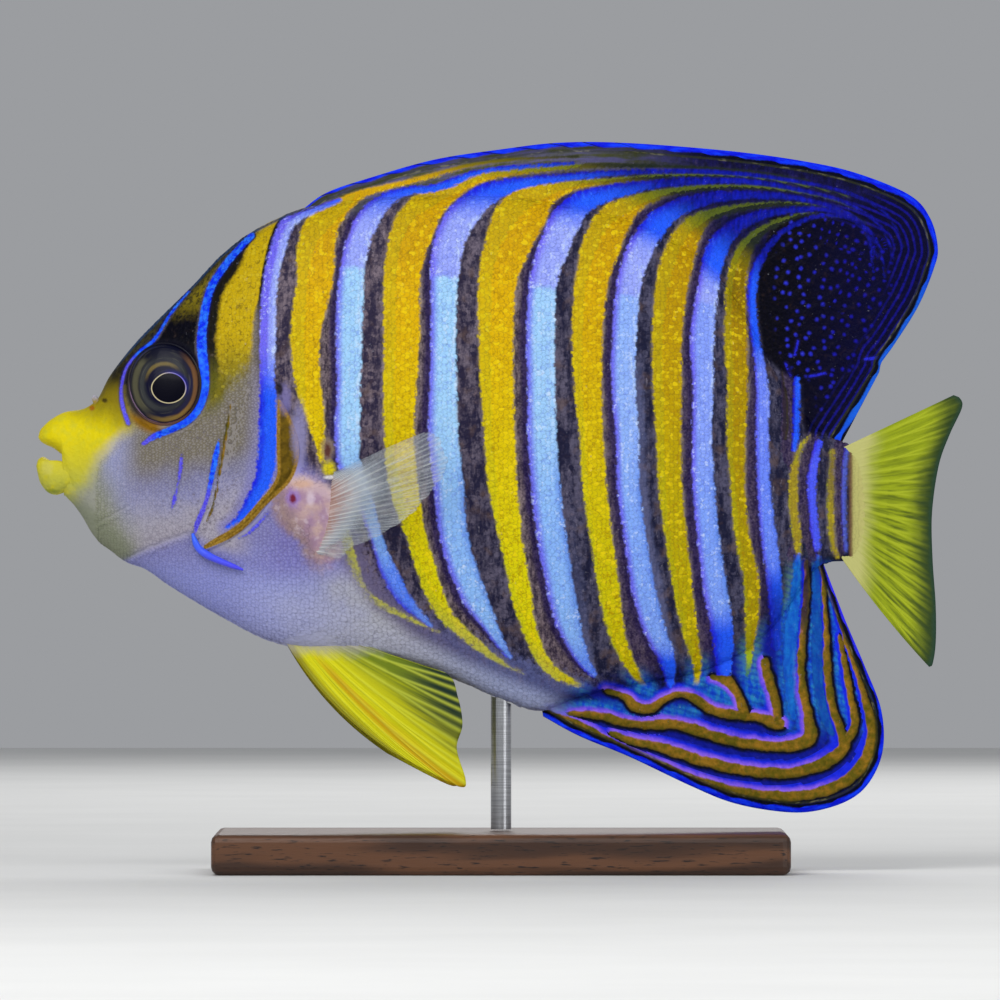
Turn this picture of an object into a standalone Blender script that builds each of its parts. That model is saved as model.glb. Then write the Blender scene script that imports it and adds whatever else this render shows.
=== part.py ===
# Regal angelfish, life size, as a still model on a plain display stand.
# The fish swims level with its snout toward -X and its left flank toward -Y.
# The stand's underside is at Z = 0, centred on X = 0, Y = 0.
# Sizes are written in millimetres and become metres through MM.

import math

import bmesh
import bpy
import numpy as np
from mathutils import Matrix, Vector

MM = 0.001

# Driving dimensions, in millimetres.

SNOUT_X = -90.6
STEM_END_X = 67.4
PART_GAP = 0.3

STAND_BASE_SIZE = (112.0, 62.0, 8.0)
STAND_BASE_ROUNDING = 1.6
STAND_ROD_RADIUS = 2.0
STAND_ROD_X = 0.0

EYE_CENTRE_X = -65.6
EYE_CENTRE_Z = 95.3
EYE_RADIUS_X = 8.4
EYE_RADIUS_Z = 9.4
EYE_HALF_DEPTH = 3.1
EYE_BULGE = 1.4
EYE_YAW = math.radians(12.0)
EYE_PITCH = math.radians(9.0)

GILL_PLATE_DEPTH = 1.5
GILL_PLATE_PROUD = 0.5
CHEEK_SPINE_RADIUS = 0.9
CHEEK_SPINE_TIP = 0.28

TAIL_BEND_START_X = 40.0
TAIL_BEND_PER_MM2 = 0.0019

FIN_RIDGE_FADE = 0.9
RAY_FOOT_SHARE = 0.30
DORSAL_SPINES, DORSAL_RAYS = 14, 18
ANAL_SPINES, ANAL_RAYS = 3, 18
CAUDAL_RAYS = 17
PELVIC_RAY_LINES = 11
PECTORAL_RAYS = 16
CAUDAL_CUP = 1.6
PELVIC_FLARE = math.radians(7.0)
PECTORAL_FLARE = math.radians(24.0)
RIGHT_PELVIC_SWING = 1.6

# Profile lines read along the body, as (X, Z) in millimetres.

BACK_LINE = [
    (-90.6, 82.6), (-90.3, 84.8), (-89.2, 86.9), (-87.6, 88.3), (-84.8, 89.7), (-81.7, 90.2),
    (-78.9, 91.9), (-76.5, 96.3), (-74.0, 99.8), (-71.0, 103.4), (-66.4, 108.1), (-60.2, 114.2),
    (-54.0, 120.7), (-47.8, 125.2), (-38.0, 129.4), (-28.0, 131.0), (-15.0, 131.9), (0.0, 131.7),
    (12.0, 130.2), (22.0, 127.9), (31.0, 124.4), (38.5, 119.8), (44.5, 113.4), (49.5, 105.2),
    (54.0, 96.6), (58.5, 89.9), (63.0, 85.4), (67.6, 83.3),
]
BELLY_LINE = [
    (-90.6, 82.2), (-90.3, 77.6), (-89.3, 75.0), (-87.6, 73.9), (-85.4, 73.2), (-83.5, 71.8),
    (-81.6, 69.2), (-79.8, 66.1), (-78.2, 64.2), (-76.0, 62.6), (-73.2, 60.5), (-69.5, 59.1),
    (-65.1, 56.1), (-54.6, 49.8), (-45.2, 45.1), (-38.0, 43.3), (-29.0, 42.6), (-18.0, 40.5),
    (-9.6, 37.8), (0.0, 33.8), (7.5, 31.5), (15.0, 34.0), (25.0, 36.4), (36.0, 38.4),
    (46.0, 42.2), (52.5, 47.5), (57.5, 54.0), (61.5, 59.3), (64.5, 60.5), (67.6, 60.1),
]
HALF_WIDTH = [
    (-90.6, 0.7), (-90.2, 2.2), (-89.0, 3.5), (-87.2, 4.3), (-85.6, 4.4), (-84.0, 4.4),
    (-80.0, 5.7), (-75.0, 7.4), (-70.0, 8.9), (-65.0, 10.2), (-60.0, 11.3), (-50.0, 12.7),
    (-40.0, 13.3), (-30.0, 13.2), (-20.0, 12.8), (-10.0, 12.2), (0.0, 11.4), (10.0, 10.4),
    (20.0, 9.2), (30.0, 7.9), (40.0, 6.6), (50.0, 5.3), (58.0, 4.3), (64.0, 3.3), (67.6, 2.3),
]
WIDEST_LEVEL = [(-90.6, 82.4), (-84.0, 81.0), (-75.0, 83.0), (-50.0, 86.0), (-20.0, 86.0),
                (10.0, 83.0), (40.0, 77.0), (67.6, 72.0)]
BACK_RIDGE = [(-90.6, 0.3), (-84.0, 0.6), (-50.0, 0.8), (-36.0, 1.5), (67.6, 1.5)]
BELLY_RIDGE = [(-90.6, 0.3), (-84.0, 0.6), (-60.0, 1.0), (5.0, 1.2), (12.0, 1.5), (67.6, 1.5)]

# Edges between the parts of the body, as (X, Z).

GILL_REAR = [
    (-43.6, 95.4), (-42.6, 92.0), (-40.7, 87.6), (-39.2, 84.0), (-39.2, 81.4), (-40.6, 78.8),
    (-44.8, 74.2), (-48.7, 69.8), (-52.6, 66.3), (-58.2, 63.3),
]
NAPE_LINE = [(-36.5, 140.0), (-37.5, 126.0), (-40.5, 110.0), (-42.6, 99.0)]
THROAT_LINE = [(-61.5, 64.9), (-66.0, 63.5), (-70.5, 61.9), (-72.6, 59.5), (-75.0, 55.0)]
GILL_FRONT = [(-60.2, 65.8), (-57.2, 69.5), (-55.4, 75.0), (-54.0, 82.0), (-53.0, 88.0), (-52.2, 94.0)]
GILL_TOP = [(-49.5, 96.6), (-46.0, 96.9)]
MOUTH_GAPE = [
    (-96.0, 85.2), (-89.9, 84.1), (-88.8, 83.3), (-87.4, 82.7), (-86.3, 81.9), (-85.4, 81.2),
    (-85.6, 80.9), (-87.0, 81.0), (-88.6, 80.9), (-89.8, 80.6), (-90.7, 80.1), (-96.0, 79.2),
]
JAW_REGION = [(-85.5, 81.1), (-84.9, 79.0), (-84.7, 76.4), (-85.2, 74.2), (-85.4, 70.0),
              (-97.0, 70.0), (-97.0, 81.6)]
CHEEK_SPINE_PATH = [(-60.4, 65.2), (-58.8, 62.7), (-55.0, 60.8), (-50.2, 58.9)]
NOSTRILS = [(-79.4, 90.3, 0.55), (-77.3, 91.8, 0.65)]

# Fin outlines, as (X, Z) from front to rear or from top to bottom.

DORSAL_MARGIN = [
    (-38.0, 130.5), (-34.1, 132.4), (-25.4, 135.4), (-13.0, 138.9), (0.0, 140.9), (11.5, 142.2),
    (25.0, 142.1), (45.0, 140.5), (60.0, 138.4), (69.9, 136.1), (79.8, 132.0), (83.8, 127.5),
    (85.3, 121.8), (84.5, 117.6), (81.4, 110.2), (76.6, 102.6), (74.4, 99.6), (73.8, 97.4),
]
DORSAL_FRONT_X, DORSAL_REAR_X = -38.0, 66.4
ANAL_MARGIN = [
    (8.2, 30.3), (15.2, 26.5), (25.1, 22.4), (36.9, 16.8), (45.0, 13.5), (53.7, 11.8),
    (60.5, 11.7), (67.4, 13.7), (71.8, 17.3), (74.5, 23.6), (74.2, 31.5), (71.0, 40.0),
    (67.4, 48.4),
]
ANAL_FRONT_X, ANAL_REAR_X = 8.0, 63.0
CAUDAL_BASE = [(STEM_END_X + PART_GAP, 82.9), (STEM_END_X + PART_GAP, 60.6)]
CAUDAL_MARGIN = [
    (88.4, 93.0), (89.7, 92.3), (90.0, 90.4), (87.6, 85.2), (85.5, 79.2), (84.2, 70.0),
    (84.3, 61.0), (84.9, 52.0), (84.9, 44.8), (84.3, 40.6), (83.6, 39.9),
]
PELVIC_BASE = [(-43.4, 46.4), (-38.0, 45.6), (-32.5, 45.2)]
PELVIC_MARGIN = [
    (-20.6, 23.0), (-12.3, 18.6), (-7.6, 16.6), (-6.9, 18.2), (-8.6, 24.2), (-7.5, 28.8),
    (-8.4, 34.2), (-10.4, 38.6), (-18.0, 41.0),
]
PECTORAL_BASE = [(-37.5, 75.6), (-38.4, 69.5), (-38.0, 62.6)]
PECTORAL_MARGIN = [
    (-27.5, 80.2), (-20.4, 83.4), (-13.9, 85.7), (-11.4, 83.0), (-10.2, 79.6), (-12.4, 75.6),
    (-16.7, 70.4), (-22.9, 65.9), (-28.4, 63.5), (-31.2, 60.9),
]


# Curves and sections.

def profile(points, x):
    """Smooth height over x: cubic pieces whose slopes are limited so that none overshoots."""
    px, pz = np.array(points, dtype=float).T
    slope = np.diff(pz) / np.diff(px)
    inner = np.where(slope[:-1] * slope[1:] > 0.0,
                     2.0 * slope[:-1] * slope[1:] / (slope[:-1] + slope[1:] + 1e-12), 0.0)
    tangent = np.concatenate([slope[:1], inner, slope[-1:]])
    x = np.clip(x, px[0], px[-1])
    k = np.clip(np.searchsorted(px, x, side="right") - 1, 0, len(px) - 2)
    h = px[k + 1] - px[k]
    t = (x - px[k]) / h
    return ((2 * t**3 - 3 * t**2 + 1) * pz[k] + (t**3 - 2 * t**2 + t) * h * tangent[k]
            + (3 * t**2 - 2 * t**3) * pz[k + 1] + (t**3 - t**2) * h * tangent[k + 1])


def along(points, fractions):
    """Points at given fractions of a smooth path's length."""
    pts = np.array(points, dtype=float)
    ends = np.vstack([2 * pts[0] - pts[1], pts, 2 * pts[-1] - pts[-2]])
    fine = []
    for i in range(len(pts) - 1):
        a, b, c, d = ends[i:i + 4]
        t = np.linspace(0.0, 1.0, 12, endpoint=False)[:, None]
        fine.append(0.5 * (2 * b + (c - a) * t + (2 * a - 5 * b + 4 * c - d) * t**2
                           + (3 * b - a - 3 * c + d) * t**3))
    fine = np.vstack(fine + [pts[-1:]])
    run = np.concatenate([[0.0], np.cumsum(np.linalg.norm(np.diff(fine, axis=0), axis=1))])
    target = np.asarray(fractions) * run[-1]
    return np.column_stack([np.interp(target, run, fine[:, 0]), np.interp(target, run, fine[:, 1])])


def side_bend(x):
    """Sideways shift of the tail end, growing with the square of the distance."""
    return TAIL_BEND_PER_MM2 * np.maximum(0.0, np.asarray(x) - TAIL_BEND_START_X) ** 2


def flank(x, z, grow=0.0):
    """Half width of the body at (x, z)."""
    top, low = profile(BACK_LINE, x) + grow, profile(BELLY_LINE, x) - grow
    level = profile(WIDEST_LEVEL, x)
    up = z >= level
    s = np.where(up, (z - level) / (top - level), (level - z) / (level - low))
    ridge = np.where(up, profile(BACK_RIDGE, x), profile(BELLY_RIDGE, x)) + grow
    wide = profile(HALF_WIDTH, x) + grow
    return ridge + (wide - ridge) * np.sqrt(np.clip(1.0 - s**2, 0.0, 1.0)) ** 1.08


NOSE_STATIONS = SNOUT_X + 7.0 * (1.0 - np.cos(np.linspace(0.0, 0.5 * math.pi, 8)))
HEAD_STATIONS = np.arange(-81.0, -59.0, 2.6)
TRUNK_STATIONS = np.arange(-56.6, 66.0, 4.0)
STATIONS = np.concatenate([NOSE_STATIONS, HEAD_STATIONS, TRUNK_STATIONS, [STEM_END_X]])


# Meshes.

def new_object(name, verts_mm, faces, collection):
    """Mesh object from points in millimetres."""
    mesh = bpy.data.meshes.new(name)
    mesh.from_pydata([tuple(p) for p in np.asarray(verts_mm) * MM], [], faces)
    mesh.validate()
    mesh.update()
    ob = bpy.data.objects.new(name, mesh)
    collection.objects.link(ob)
    return ob


def body_loft(name, grow, collection, steps=13):
    """Loft of lens-shaped sections from the snout to the end of the tail stem."""
    angle = np.linspace(0.5 * math.pi, -0.5 * math.pi, steps)
    rise, spread = np.sin(angle), np.cos(angle) ** 1.08
    rings = []
    for x in STATIONS:
        level = profile(WIDEST_LEVEL, x)
        top = max(profile(BACK_LINE, x) + grow, level + 0.1)
        low = min(profile(BELLY_LINE, x) - grow, level - 0.1)
        z = np.where(rise >= 0.0, level + (top - level) * rise, level + (level - low) * rise)
        ridge = np.where(rise >= 0.0, profile(BACK_RIDGE, x), profile(BELLY_RIDGE, x)) + grow
        ridge = np.maximum(ridge, 0.1)
        wide = max(profile(HALF_WIDTH, x) + grow, 0.2)
        y = ridge + (wide - ridge) * spread
        left = np.column_stack([np.full(steps, x), side_bend(x) - y, z])
        right = np.column_stack([np.full(steps, x), side_bend(x) + y, z])[::-1]
        rings.append(np.vstack([left, right]))
    count = 2 * steps
    faces = [tuple(range(count)), tuple(range(len(rings) * count - 1, (len(rings) - 1) * count - 1, -1))]
    for i in range(len(rings) - 1):
        for j in range(count):
            k = (j + 1) % count
            faces.append((i * count + j, (i + 1) * count + j, (i + 1) * count + k, i * count + k))
    ob = new_object(name, np.vstack(rings), faces, collection)
    face_outward(ob)
    return ob


def face_outward(ob):
    """Turn every face outward."""
    bm = bmesh.new()
    bm.from_mesh(ob.data)
    bmesh.ops.recalc_face_normals(bm, faces=bm.faces)
    bm.to_mesh(ob.data)
    bm.free()


def widened(outline, distance):
    """Closed outline moved outward by a distance."""
    pts = np.array(outline, dtype=float)
    before, after = pts - np.roll(pts, 1, axis=0), np.roll(pts, -1, axis=0) - pts
    area = np.sum(pts[:, 0] * np.roll(pts[:, 1], -1) - np.roll(pts[:, 0], -1) * pts[:, 1])
    turn = 1.0 if area > 0.0 else -1.0
    n1 = np.column_stack([before[:, 1], -before[:, 0]]) / np.linalg.norm(before, axis=1)[:, None]
    n2 = np.column_stack([after[:, 1], -after[:, 0]]) / np.linalg.norm(after, axis=1)[:, None]
    mid = n1 + n2
    scale = 2.0 / np.sum(mid**2, axis=1)
    return pts + turn * distance * mid * scale[:, None]


def slab(name, outline, y_from, y_to, collection):
    """Flat outline in the X-Z plane pulled out along Y."""
    pts = np.array(outline, dtype=float)
    front = np.column_stack([pts[:, 0], np.full(len(pts), y_from), pts[:, 1]])
    rear = np.column_stack([pts[:, 0], np.full(len(pts), y_to), pts[:, 1]])
    n = len(pts)
    faces = [tuple(range(n)), tuple(range(2 * n - 1, n - 1, -1))]
    faces += [(i, i + n, (i + 1) % n + n, (i + 1) % n) for i in range(n)]
    ob = new_object(name, np.vstack([front, rear]), faces, collection)
    face_outward(ob)
    return ob


def bake(ob):
    """Replace an object's mesh by the result of its modifiers."""
    graph = bpy.context.evaluated_depsgraph_get()
    mesh = bpy.data.meshes.new_from_object(ob.evaluated_get(graph))
    ob.modifiers.clear()
    ob.data = mesh


def shape_with(ob, tool, operation, solver="EXACT"):
    """Cut, clip or join with a closed tool, then keep the largest closed surface."""
    mod = ob.modifiers.new(operation.lower(), "BOOLEAN")
    mod.operation = operation
    mod.object = tool
    mod.solver = solver
    bake(ob)
    keep_largest(ob)


def keep_largest(ob):
    """Drop every loose scrap beside the main surface."""
    bm = bmesh.new()
    bm.from_mesh(ob.data)
    left, groups = set(bm.verts), []
    while left:
        group, stack = set(), [left.pop()]
        while stack:
            v = stack.pop()
            group.add(v)
            for e in v.link_edges:
                w = e.other_vert(v)
                if w in left:
                    left.discard(w)
                    stack.append(w)
        groups.append(group)
    groups.sort(key=len)
    for group in groups[:-1]:
        bmesh.ops.delete(bm, geom=list(group), context="VERTS")
    bm.to_mesh(ob.data)
    bm.free()


def tube(name, points_mm, radius, taper, roundness, collection):
    """Closed tube along a path, made as a bevelled curve and turned into a mesh."""
    data = bpy.data.curves.new(name, "CURVE")
    data.dimensions = "3D"
    data.bevel_depth = radius * MM
    data.bevel_resolution = roundness
    data.use_fill_caps = True
    spline = data.splines.new("POLY")
    spline.points.add(len(points_mm) - 1)
    for point, place, scale in zip(spline.points, points_mm * MM, taper):
        point.co = (*place, 1.0)
        point.radius = scale
    curve = bpy.data.objects.new(name + "_path", data)
    collection.objects.link(curve)
    graph = bpy.context.evaluated_depsgraph_get()
    mesh = bpy.data.meshes.new_from_object(curve.evaluated_get(graph))
    bpy.data.objects.remove(curve, do_unlink=True)
    bm = bmesh.new()
    bm.from_mesh(mesh)
    bmesh.ops.remove_doubles(bm, verts=bm.verts, dist=0.01 * MM)
    bm.to_mesh(mesh)
    bm.free()
    ob = bpy.data.objects.new(name, mesh)
    collection.objects.link(ob)
    face_outward(ob)
    return ob


def move_to(ob, collection):
    """Keep an object in one collection only."""
    for owner in list(ob.users_collection):
        owner.objects.unlink(ob)
    collection.objects.link(ob)


def copy_of(ob, name, collection):
    """Second object with its own copy of a mesh."""
    twin = bpy.data.objects.new(name, ob.data.copy())
    twin.matrix_world = ob.matrix_world
    collection.objects.link(twin)
    return twin


def hidden_tool(ob):
    """Mark an object as a tool that isn't part of the model."""
    ob.hide_render = True
    ob.display_type = "WIRE"


def paint(ob, colour, roughness, metallic=0.0):
    """Own material, smooth shading."""
    mat = bpy.data.materials.new(ob.name)
    mat.use_nodes = True
    shader = mat.node_tree.nodes["Principled BSDF"]
    shader.inputs["Base Color"].default_value = (*colour, 1.0)
    shader.inputs["Roughness"].default_value = roughness
    shader.inputs["Metallic"].default_value = metallic
    mat.diffuse_color = (*colour, 1.0)
    ob.data.materials.clear()
    ob.data.materials.append(mat)
    ob.data.shade_smooth()
    ob.data.set_sharp_from_angle(angle=math.radians(35.0))


# Fins.

def ray_fin(name, base, margin, rays, rows, thick, sheet, bow=(0.0, 0.0), ridge=0.3):
    """Fin from a grid of rays: u runs along the base, v out along each ray.

    base and margin are paths in the X-Z plane, sheet gives the sideways place of each point,
    thick is the half thickness at the base and at the margin, and every ray is a ridge on
    both faces.
    """
    centres = (np.arange(rays) + 0.5) / rays
    foot = RAY_FOOT_SHARE / rays
    u = np.sort(np.concatenate([[0.0, 1.0], centres - foot, centres, centres + foot]))
    crest = np.isin(np.round(u, 9), np.round(centres, 9)).astype(float)
    v = np.linspace(0.0, 1.0, rows)
    inner, outer = along(base, u), along(margin, u)
    chord = outer - inner
    side = np.column_stack([-chord[:, 1], chord[:, 0]])
    lift = np.interp(u, [0.0, 1.0], bow)[:, None] * side / np.linalg.norm(side, axis=1)[:, None]
    U, V = np.meshgrid(u, v, indexing="ij")
    xz = inner[:, None] + chord[:, None] * V[..., None] + lift[:, None] * (4 * V * (1 - V))[..., None]
    half = thick[1] + (thick[0] - thick[1]) * (1.0 - V) ** 2.2
    half = half + ridge * crest[:, None] * (1.0 - FIN_RIDGE_FADE * V ** 2)
    middle = sheet(xz[..., 0], xz[..., 1], U, V) + side_bend(xz[..., 0])
    near = np.stack([xz[..., 0], middle - half, xz[..., 1]], axis=-1).reshape(-1, 3)
    far = np.stack([xz[..., 0], middle + half, xz[..., 1]], axis=-1).reshape(-1, 3)
    nu, nv = len(u), rows
    faces = []
    shift = nu * nv
    for i in range(nu - 1):
        for j in range(nv - 1):
            a, b = i * nv + j, (i + 1) * nv + j
            faces += [(a, b, b + 1), (a, b + 1, a + 1)]
            faces += [(a + shift, b + 1 + shift, b + shift), (a + shift, a + 1 + shift, b + 1 + shift)]
    rim = [i * nv for i in range(nu)] + [(nu - 1) * nv + j for j in range(1, nv)]
    rim += [i * nv + nv - 1 for i in range(nu - 2, -1, -1)] + list(range(nv - 2, 0, -1))
    for a, b in zip(rim, rim[1:] + rim[:1]):
        faces.append((a, b, b + shift, a + shift))
    ob = new_object(name, np.vstack([near, far]), faces, fish)
    face_outward(ob)
    return ob


def ridge_path(line, x_from, x_to, lift, count=60):
    """Path that follows a body line at a fixed distance, along the loft's own stations."""
    x = np.linspace(x_from, x_to, count)
    z = np.interp(x, STATIONS, profile(line, STATIONS))
    slope = np.gradient(z, x)
    normal = np.column_stack([-slope, np.ones(count)]) / np.sqrt(1.0 + slope**2)[:, None]
    return np.column_stack([x, z]) + lift * normal


def upright_sheet(wave):
    """Median fin: a sheet in the mid plane with a slight wave toward its margin."""
    return lambda x, z, u, v: wave * np.sin(2.6 * math.pi * u) * v**2


def flared_sheet(side, x_base, y_base, flare, curl):
    """Paired fin: a sheet that leaves the flank at an angle and curls at its rim."""
    def place(x, z, u, v):
        return side * (y_base + math.tan(flare) * (x - x_base) + curl * v**2 * (u - 0.5))
    return place


# Fresh scene.

for ob in list(bpy.data.objects):
    bpy.data.objects.remove(ob, do_unlink=True)

fish = bpy.data.collections.new("regal_angelfish")
tools = bpy.data.collections.new("cutters")
bpy.context.scene.collection.children.link(fish)
bpy.context.scene.collection.children.link(tools)

# Body, divided along the gill opening and before the tail.

full_body = body_loft("tool_full_body", 0.0, tools)
grown_body = body_loft("tool_grown_body", PART_GAP, tools)
proud_body = body_loft("tool_proud_body", GILL_PLATE_PROUD, tools)
inner_body = body_loft("tool_inner_body", -GILL_PLATE_DEPTH, tools)
pocket_body = body_loft("tool_pocket_body", -GILL_PLATE_DEPTH - PART_GAP, tools)

front_outline = NAPE_LINE + GILL_REAR + THROAT_LINE + [(-100.0, 55.0), (-100.0, 140.0)]
front_region = slab("tool_front_region", front_outline, -30.0, 30.0, tools)
front_grown = slab("tool_front_grown", widened(front_outline, PART_GAP), -30.0, 30.0, tools)

head = copy_of(full_body, "head", fish)
shape_with(head, front_region, "INTERSECT")

tail_cut_x = 56.0
stem_outline = [(tail_cut_x, 40.0), (tail_cut_x, 110.0), (100.0, 110.0), (100.0, 40.0)]
stem_region = slab("tool_stem_region", stem_outline, -30.0, 30.0, tools)
stem_grown = slab("tool_stem_grown", widened(stem_outline, PART_GAP), -30.0, 30.0, tools)
tail_stem = copy_of(full_body, "tail_stem", fish)
shape_with(tail_stem, stem_region, "INTERSECT")

torso = copy_of(full_body, "torso", fish)
shape_with(torso, front_grown, "DIFFERENCE")
shape_with(torso, stem_grown, "DIFFERENCE")

# Mouth: open gape, lower jaw apart, a rounded lip on each jaw.

jaw_region = slab("tool_jaw_region", JAW_REGION, -12.0, 12.0, tools)
jaw_grown = slab("tool_jaw_grown", widened(JAW_REGION, PART_GAP), -12.0, 12.0, tools)
gape = slab("tool_gape", MOUTH_GAPE, -12.0, 12.0, tools)

lower_jaw = copy_of(full_body, "lower_jaw", fish)
shape_with(lower_jaw, jaw_region, "INTERSECT")
shape_with(lower_jaw, gape, "DIFFERENCE")
shape_with(head, jaw_grown, "DIFFERENCE")
shape_with(head, gape, "DIFFERENCE")


def lip(name, radius, front, corner, inset):
    """Round lip that runs from one mouth corner across the front to the other."""
    turn = np.linspace(-0.5 * math.pi, 0.5 * math.pi, 11)
    reach = np.cos(turn) ** 0.8
    x = corner[0] + (front[0] - corner[0]) * reach
    z = corner[1] + (front[1] - corner[1]) * reach
    y = (flank(x, z) - inset) * np.sin(turn)
    return tube(name, np.column_stack([x, y, z]), radius, np.ones(11), 1, tools)


upper_lip = lip("tool_upper_lip", 0.75, (-89.5, 84.6), (-86.6, 83.0), 0.35)
lower_lip = lip("tool_lower_lip", 0.65, (-89.9, 80.1), (-87.0, 80.2), 0.3)
shape_with(head, upper_lip, "UNION")
shape_with(lower_jaw, lower_lip, "UNION")

# Eyes in their sockets.


def eyeball(name, side, grow, collection):
    """Flattened ball set into the side of the head, turned to the slope of the cheek."""
    bpy.ops.mesh.primitive_uv_sphere_add(segments=22, ring_count=11, radius=1.0)
    ob = bpy.context.active_object
    ob.name = name
    move_to(ob, collection)
    reach = flank(EYE_CENTRE_X, EYE_CENTRE_Z) + EYE_BULGE - EYE_HALF_DEPTH
    size = Vector((EYE_RADIUS_X + grow, EYE_RADIUS_Z + grow, EYE_HALF_DEPTH + grow)) * MM
    pole_to_side = Matrix.Rotation(math.radians(90.0 * side), 4, "X")
    turn = Matrix.Rotation(side * EYE_PITCH, 4, "X") @ Matrix.Rotation(side * EYE_YAW, 4, "Z")
    ob.data.transform(Matrix.Diagonal((*size, 1.0)))
    ob.data.transform(pole_to_side)
    ob.data.transform(turn)
    ob.location = (EYE_CENTRE_X * MM, side * reach * MM, EYE_CENTRE_Z * MM)
    face_outward(ob)
    return ob


for side, label in ((-1, "left"), (1, "right")):
    eyeball("eye_" + label, side, 0.0, fish)
    socket = eyeball("tool_socket_" + label, side, PART_GAP, tools)
    shape_with(head, socket, "DIFFERENCE")

# Nostrils: two small pits on each side of the snout.

for side in (-1, 1):
    for x, z, radius in NOSTRILS:
        bpy.ops.mesh.primitive_uv_sphere_add(segments=10, ring_count=6, radius=radius * MM)
        pit = bpy.context.active_object
        pit.name = "tool_pit"
        move_to(pit, tools)
        pit.location = (x * MM, side * flank(x, z) * MM, z * MM)
        shape_with(head, pit, "DIFFERENCE")

# Gill covers: plates let into the cheeks, standing a little proud behind.

plate_outline = GILL_FRONT + GILL_TOP + GILL_REAR
for side, label in ((-1, "left"), (1, "right")):
    y_near, y_far = side * 4.0, side * 30.0
    region = slab("tool_plate_region_" + label, plate_outline, y_near, y_far, tools)
    wide = slab("tool_plate_grown_" + label, widened(plate_outline, PART_GAP), y_near - side * 0.5,
                y_far, tools)
    plate = copy_of(proud_body, "gill_cover_" + label, fish)
    shape_with(plate, region, "INTERSECT")
    shape_with(plate, inner_body, "DIFFERENCE")
    shape_with(wide, pocket_body, "DIFFERENCE")
    shape_with(head, wide, "DIFFERENCE")

# Cheek spine: a long spine from the lower corner of the cheek.


def cheek_spine(name, side):
    """Tapering curved spine that lies just off the flank."""
    thin = np.linspace(1.0, CHEEK_SPINE_TIP, 9)
    xz = along(CHEEK_SPINE_PATH, np.linspace(0.0, 1.0, 9))
    y = flank(xz[:, 0], xz[:, 1]) + GILL_PLATE_PROUD + PART_GAP + CHEEK_SPINE_RADIUS * thin
    points = np.column_stack([xz[:, 0], side * y, xz[:, 1]])
    return tube(name, points, CHEEK_SPINE_RADIUS, thin, 2, fish)


cheek_spine("cheek_spine_left", -1)
cheek_spine("cheek_spine_right", 1)

# Median fins.

dorsal_base = ridge_path(BACK_LINE, DORSAL_FRONT_X, DORSAL_REAR_X, PART_GAP)
ray_fin("dorsal_fin", dorsal_base, DORSAL_MARGIN, DORSAL_SPINES + DORSAL_RAYS, 6, (1.5, 0.28),
        upright_sheet(0.7))
anal_base = ridge_path(BELLY_LINE, ANAL_FRONT_X, ANAL_REAR_X, -PART_GAP)
ray_fin("anal_fin", anal_base, ANAL_MARGIN, ANAL_SPINES + ANAL_RAYS, 6, (1.5, 0.28),
        upright_sheet(-0.7))
ray_fin("caudal_fin", CAUDAL_BASE, CAUDAL_MARGIN, CAUDAL_RAYS, 6, (1.9, 0.28),
        lambda x, z, u, v: CAUDAL_CUP * np.sin(math.pi * u) * v**2, bow=(1.2, -0.8))

# Paired fins, trimmed where they leave the body.

for side, label in ((-1, "left"), (1, "right")):
    swing = 0.0 if side < 0 else RIGHT_PELVIC_SWING
    pelvic = ray_fin("pelvic_fin_" + label, PELVIC_BASE, [(x - swing, z) for x, z in PELVIC_MARGIN],
                     PELVIC_RAY_LINES, 5, (0.9, 0.28),
                     flared_sheet(side, -41.0, 1.9, PELVIC_FLARE, 0.0), bow=(-2.2, 0.3))
    shape_with(pelvic, grown_body, "DIFFERENCE", "MANIFOLD")
    pectoral = ray_fin("pectoral_fin_" + label, PECTORAL_BASE, PECTORAL_MARGIN, PECTORAL_RAYS, 5,
                       (0.9, 0.27), flared_sheet(side, -37.0, 10.6, PECTORAL_FLARE, -1.5),
                       ridge=0.22)
    shape_with(pectoral, grown_body, "DIFFERENCE")

# Display stand.

bpy.ops.mesh.primitive_cube_add(size=1.0)
stand_base = bpy.context.active_object
stand_base.name = "stand_base"
stand_base.data.transform(Matrix.Diagonal((*(Vector(STAND_BASE_SIZE) * MM), 1.0)))
stand_base.location = (0.0, 0.0, 0.5 * STAND_BASE_SIZE[2] * MM)
rounding = stand_base.modifiers.new("rounding", "BEVEL")
rounding.width = STAND_BASE_ROUNDING * MM
rounding.segments = 3
rounding.limit_method = "ANGLE"

rod_bottom, rod_top = STAND_BASE_SIZE[2] + PART_GAP, profile(BELLY_LINE, STAND_ROD_X) + 3.0
bpy.ops.mesh.primitive_cylinder_add(vertices=24, radius=STAND_ROD_RADIUS * MM,
                                    depth=(rod_top - rod_bottom) * MM)
stand_rod = bpy.context.active_object
stand_rod.name = "stand_rod"
stand_rod.location = (STAND_ROD_X * MM, 0.0, 0.5 * (rod_bottom + rod_top) * MM)

move_to(stand_base, fish)
move_to(stand_rod, fish)
shape_with(stand_rod, grown_body, "DIFFERENCE")

# Own colour, roughness and metal of each part.

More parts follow.
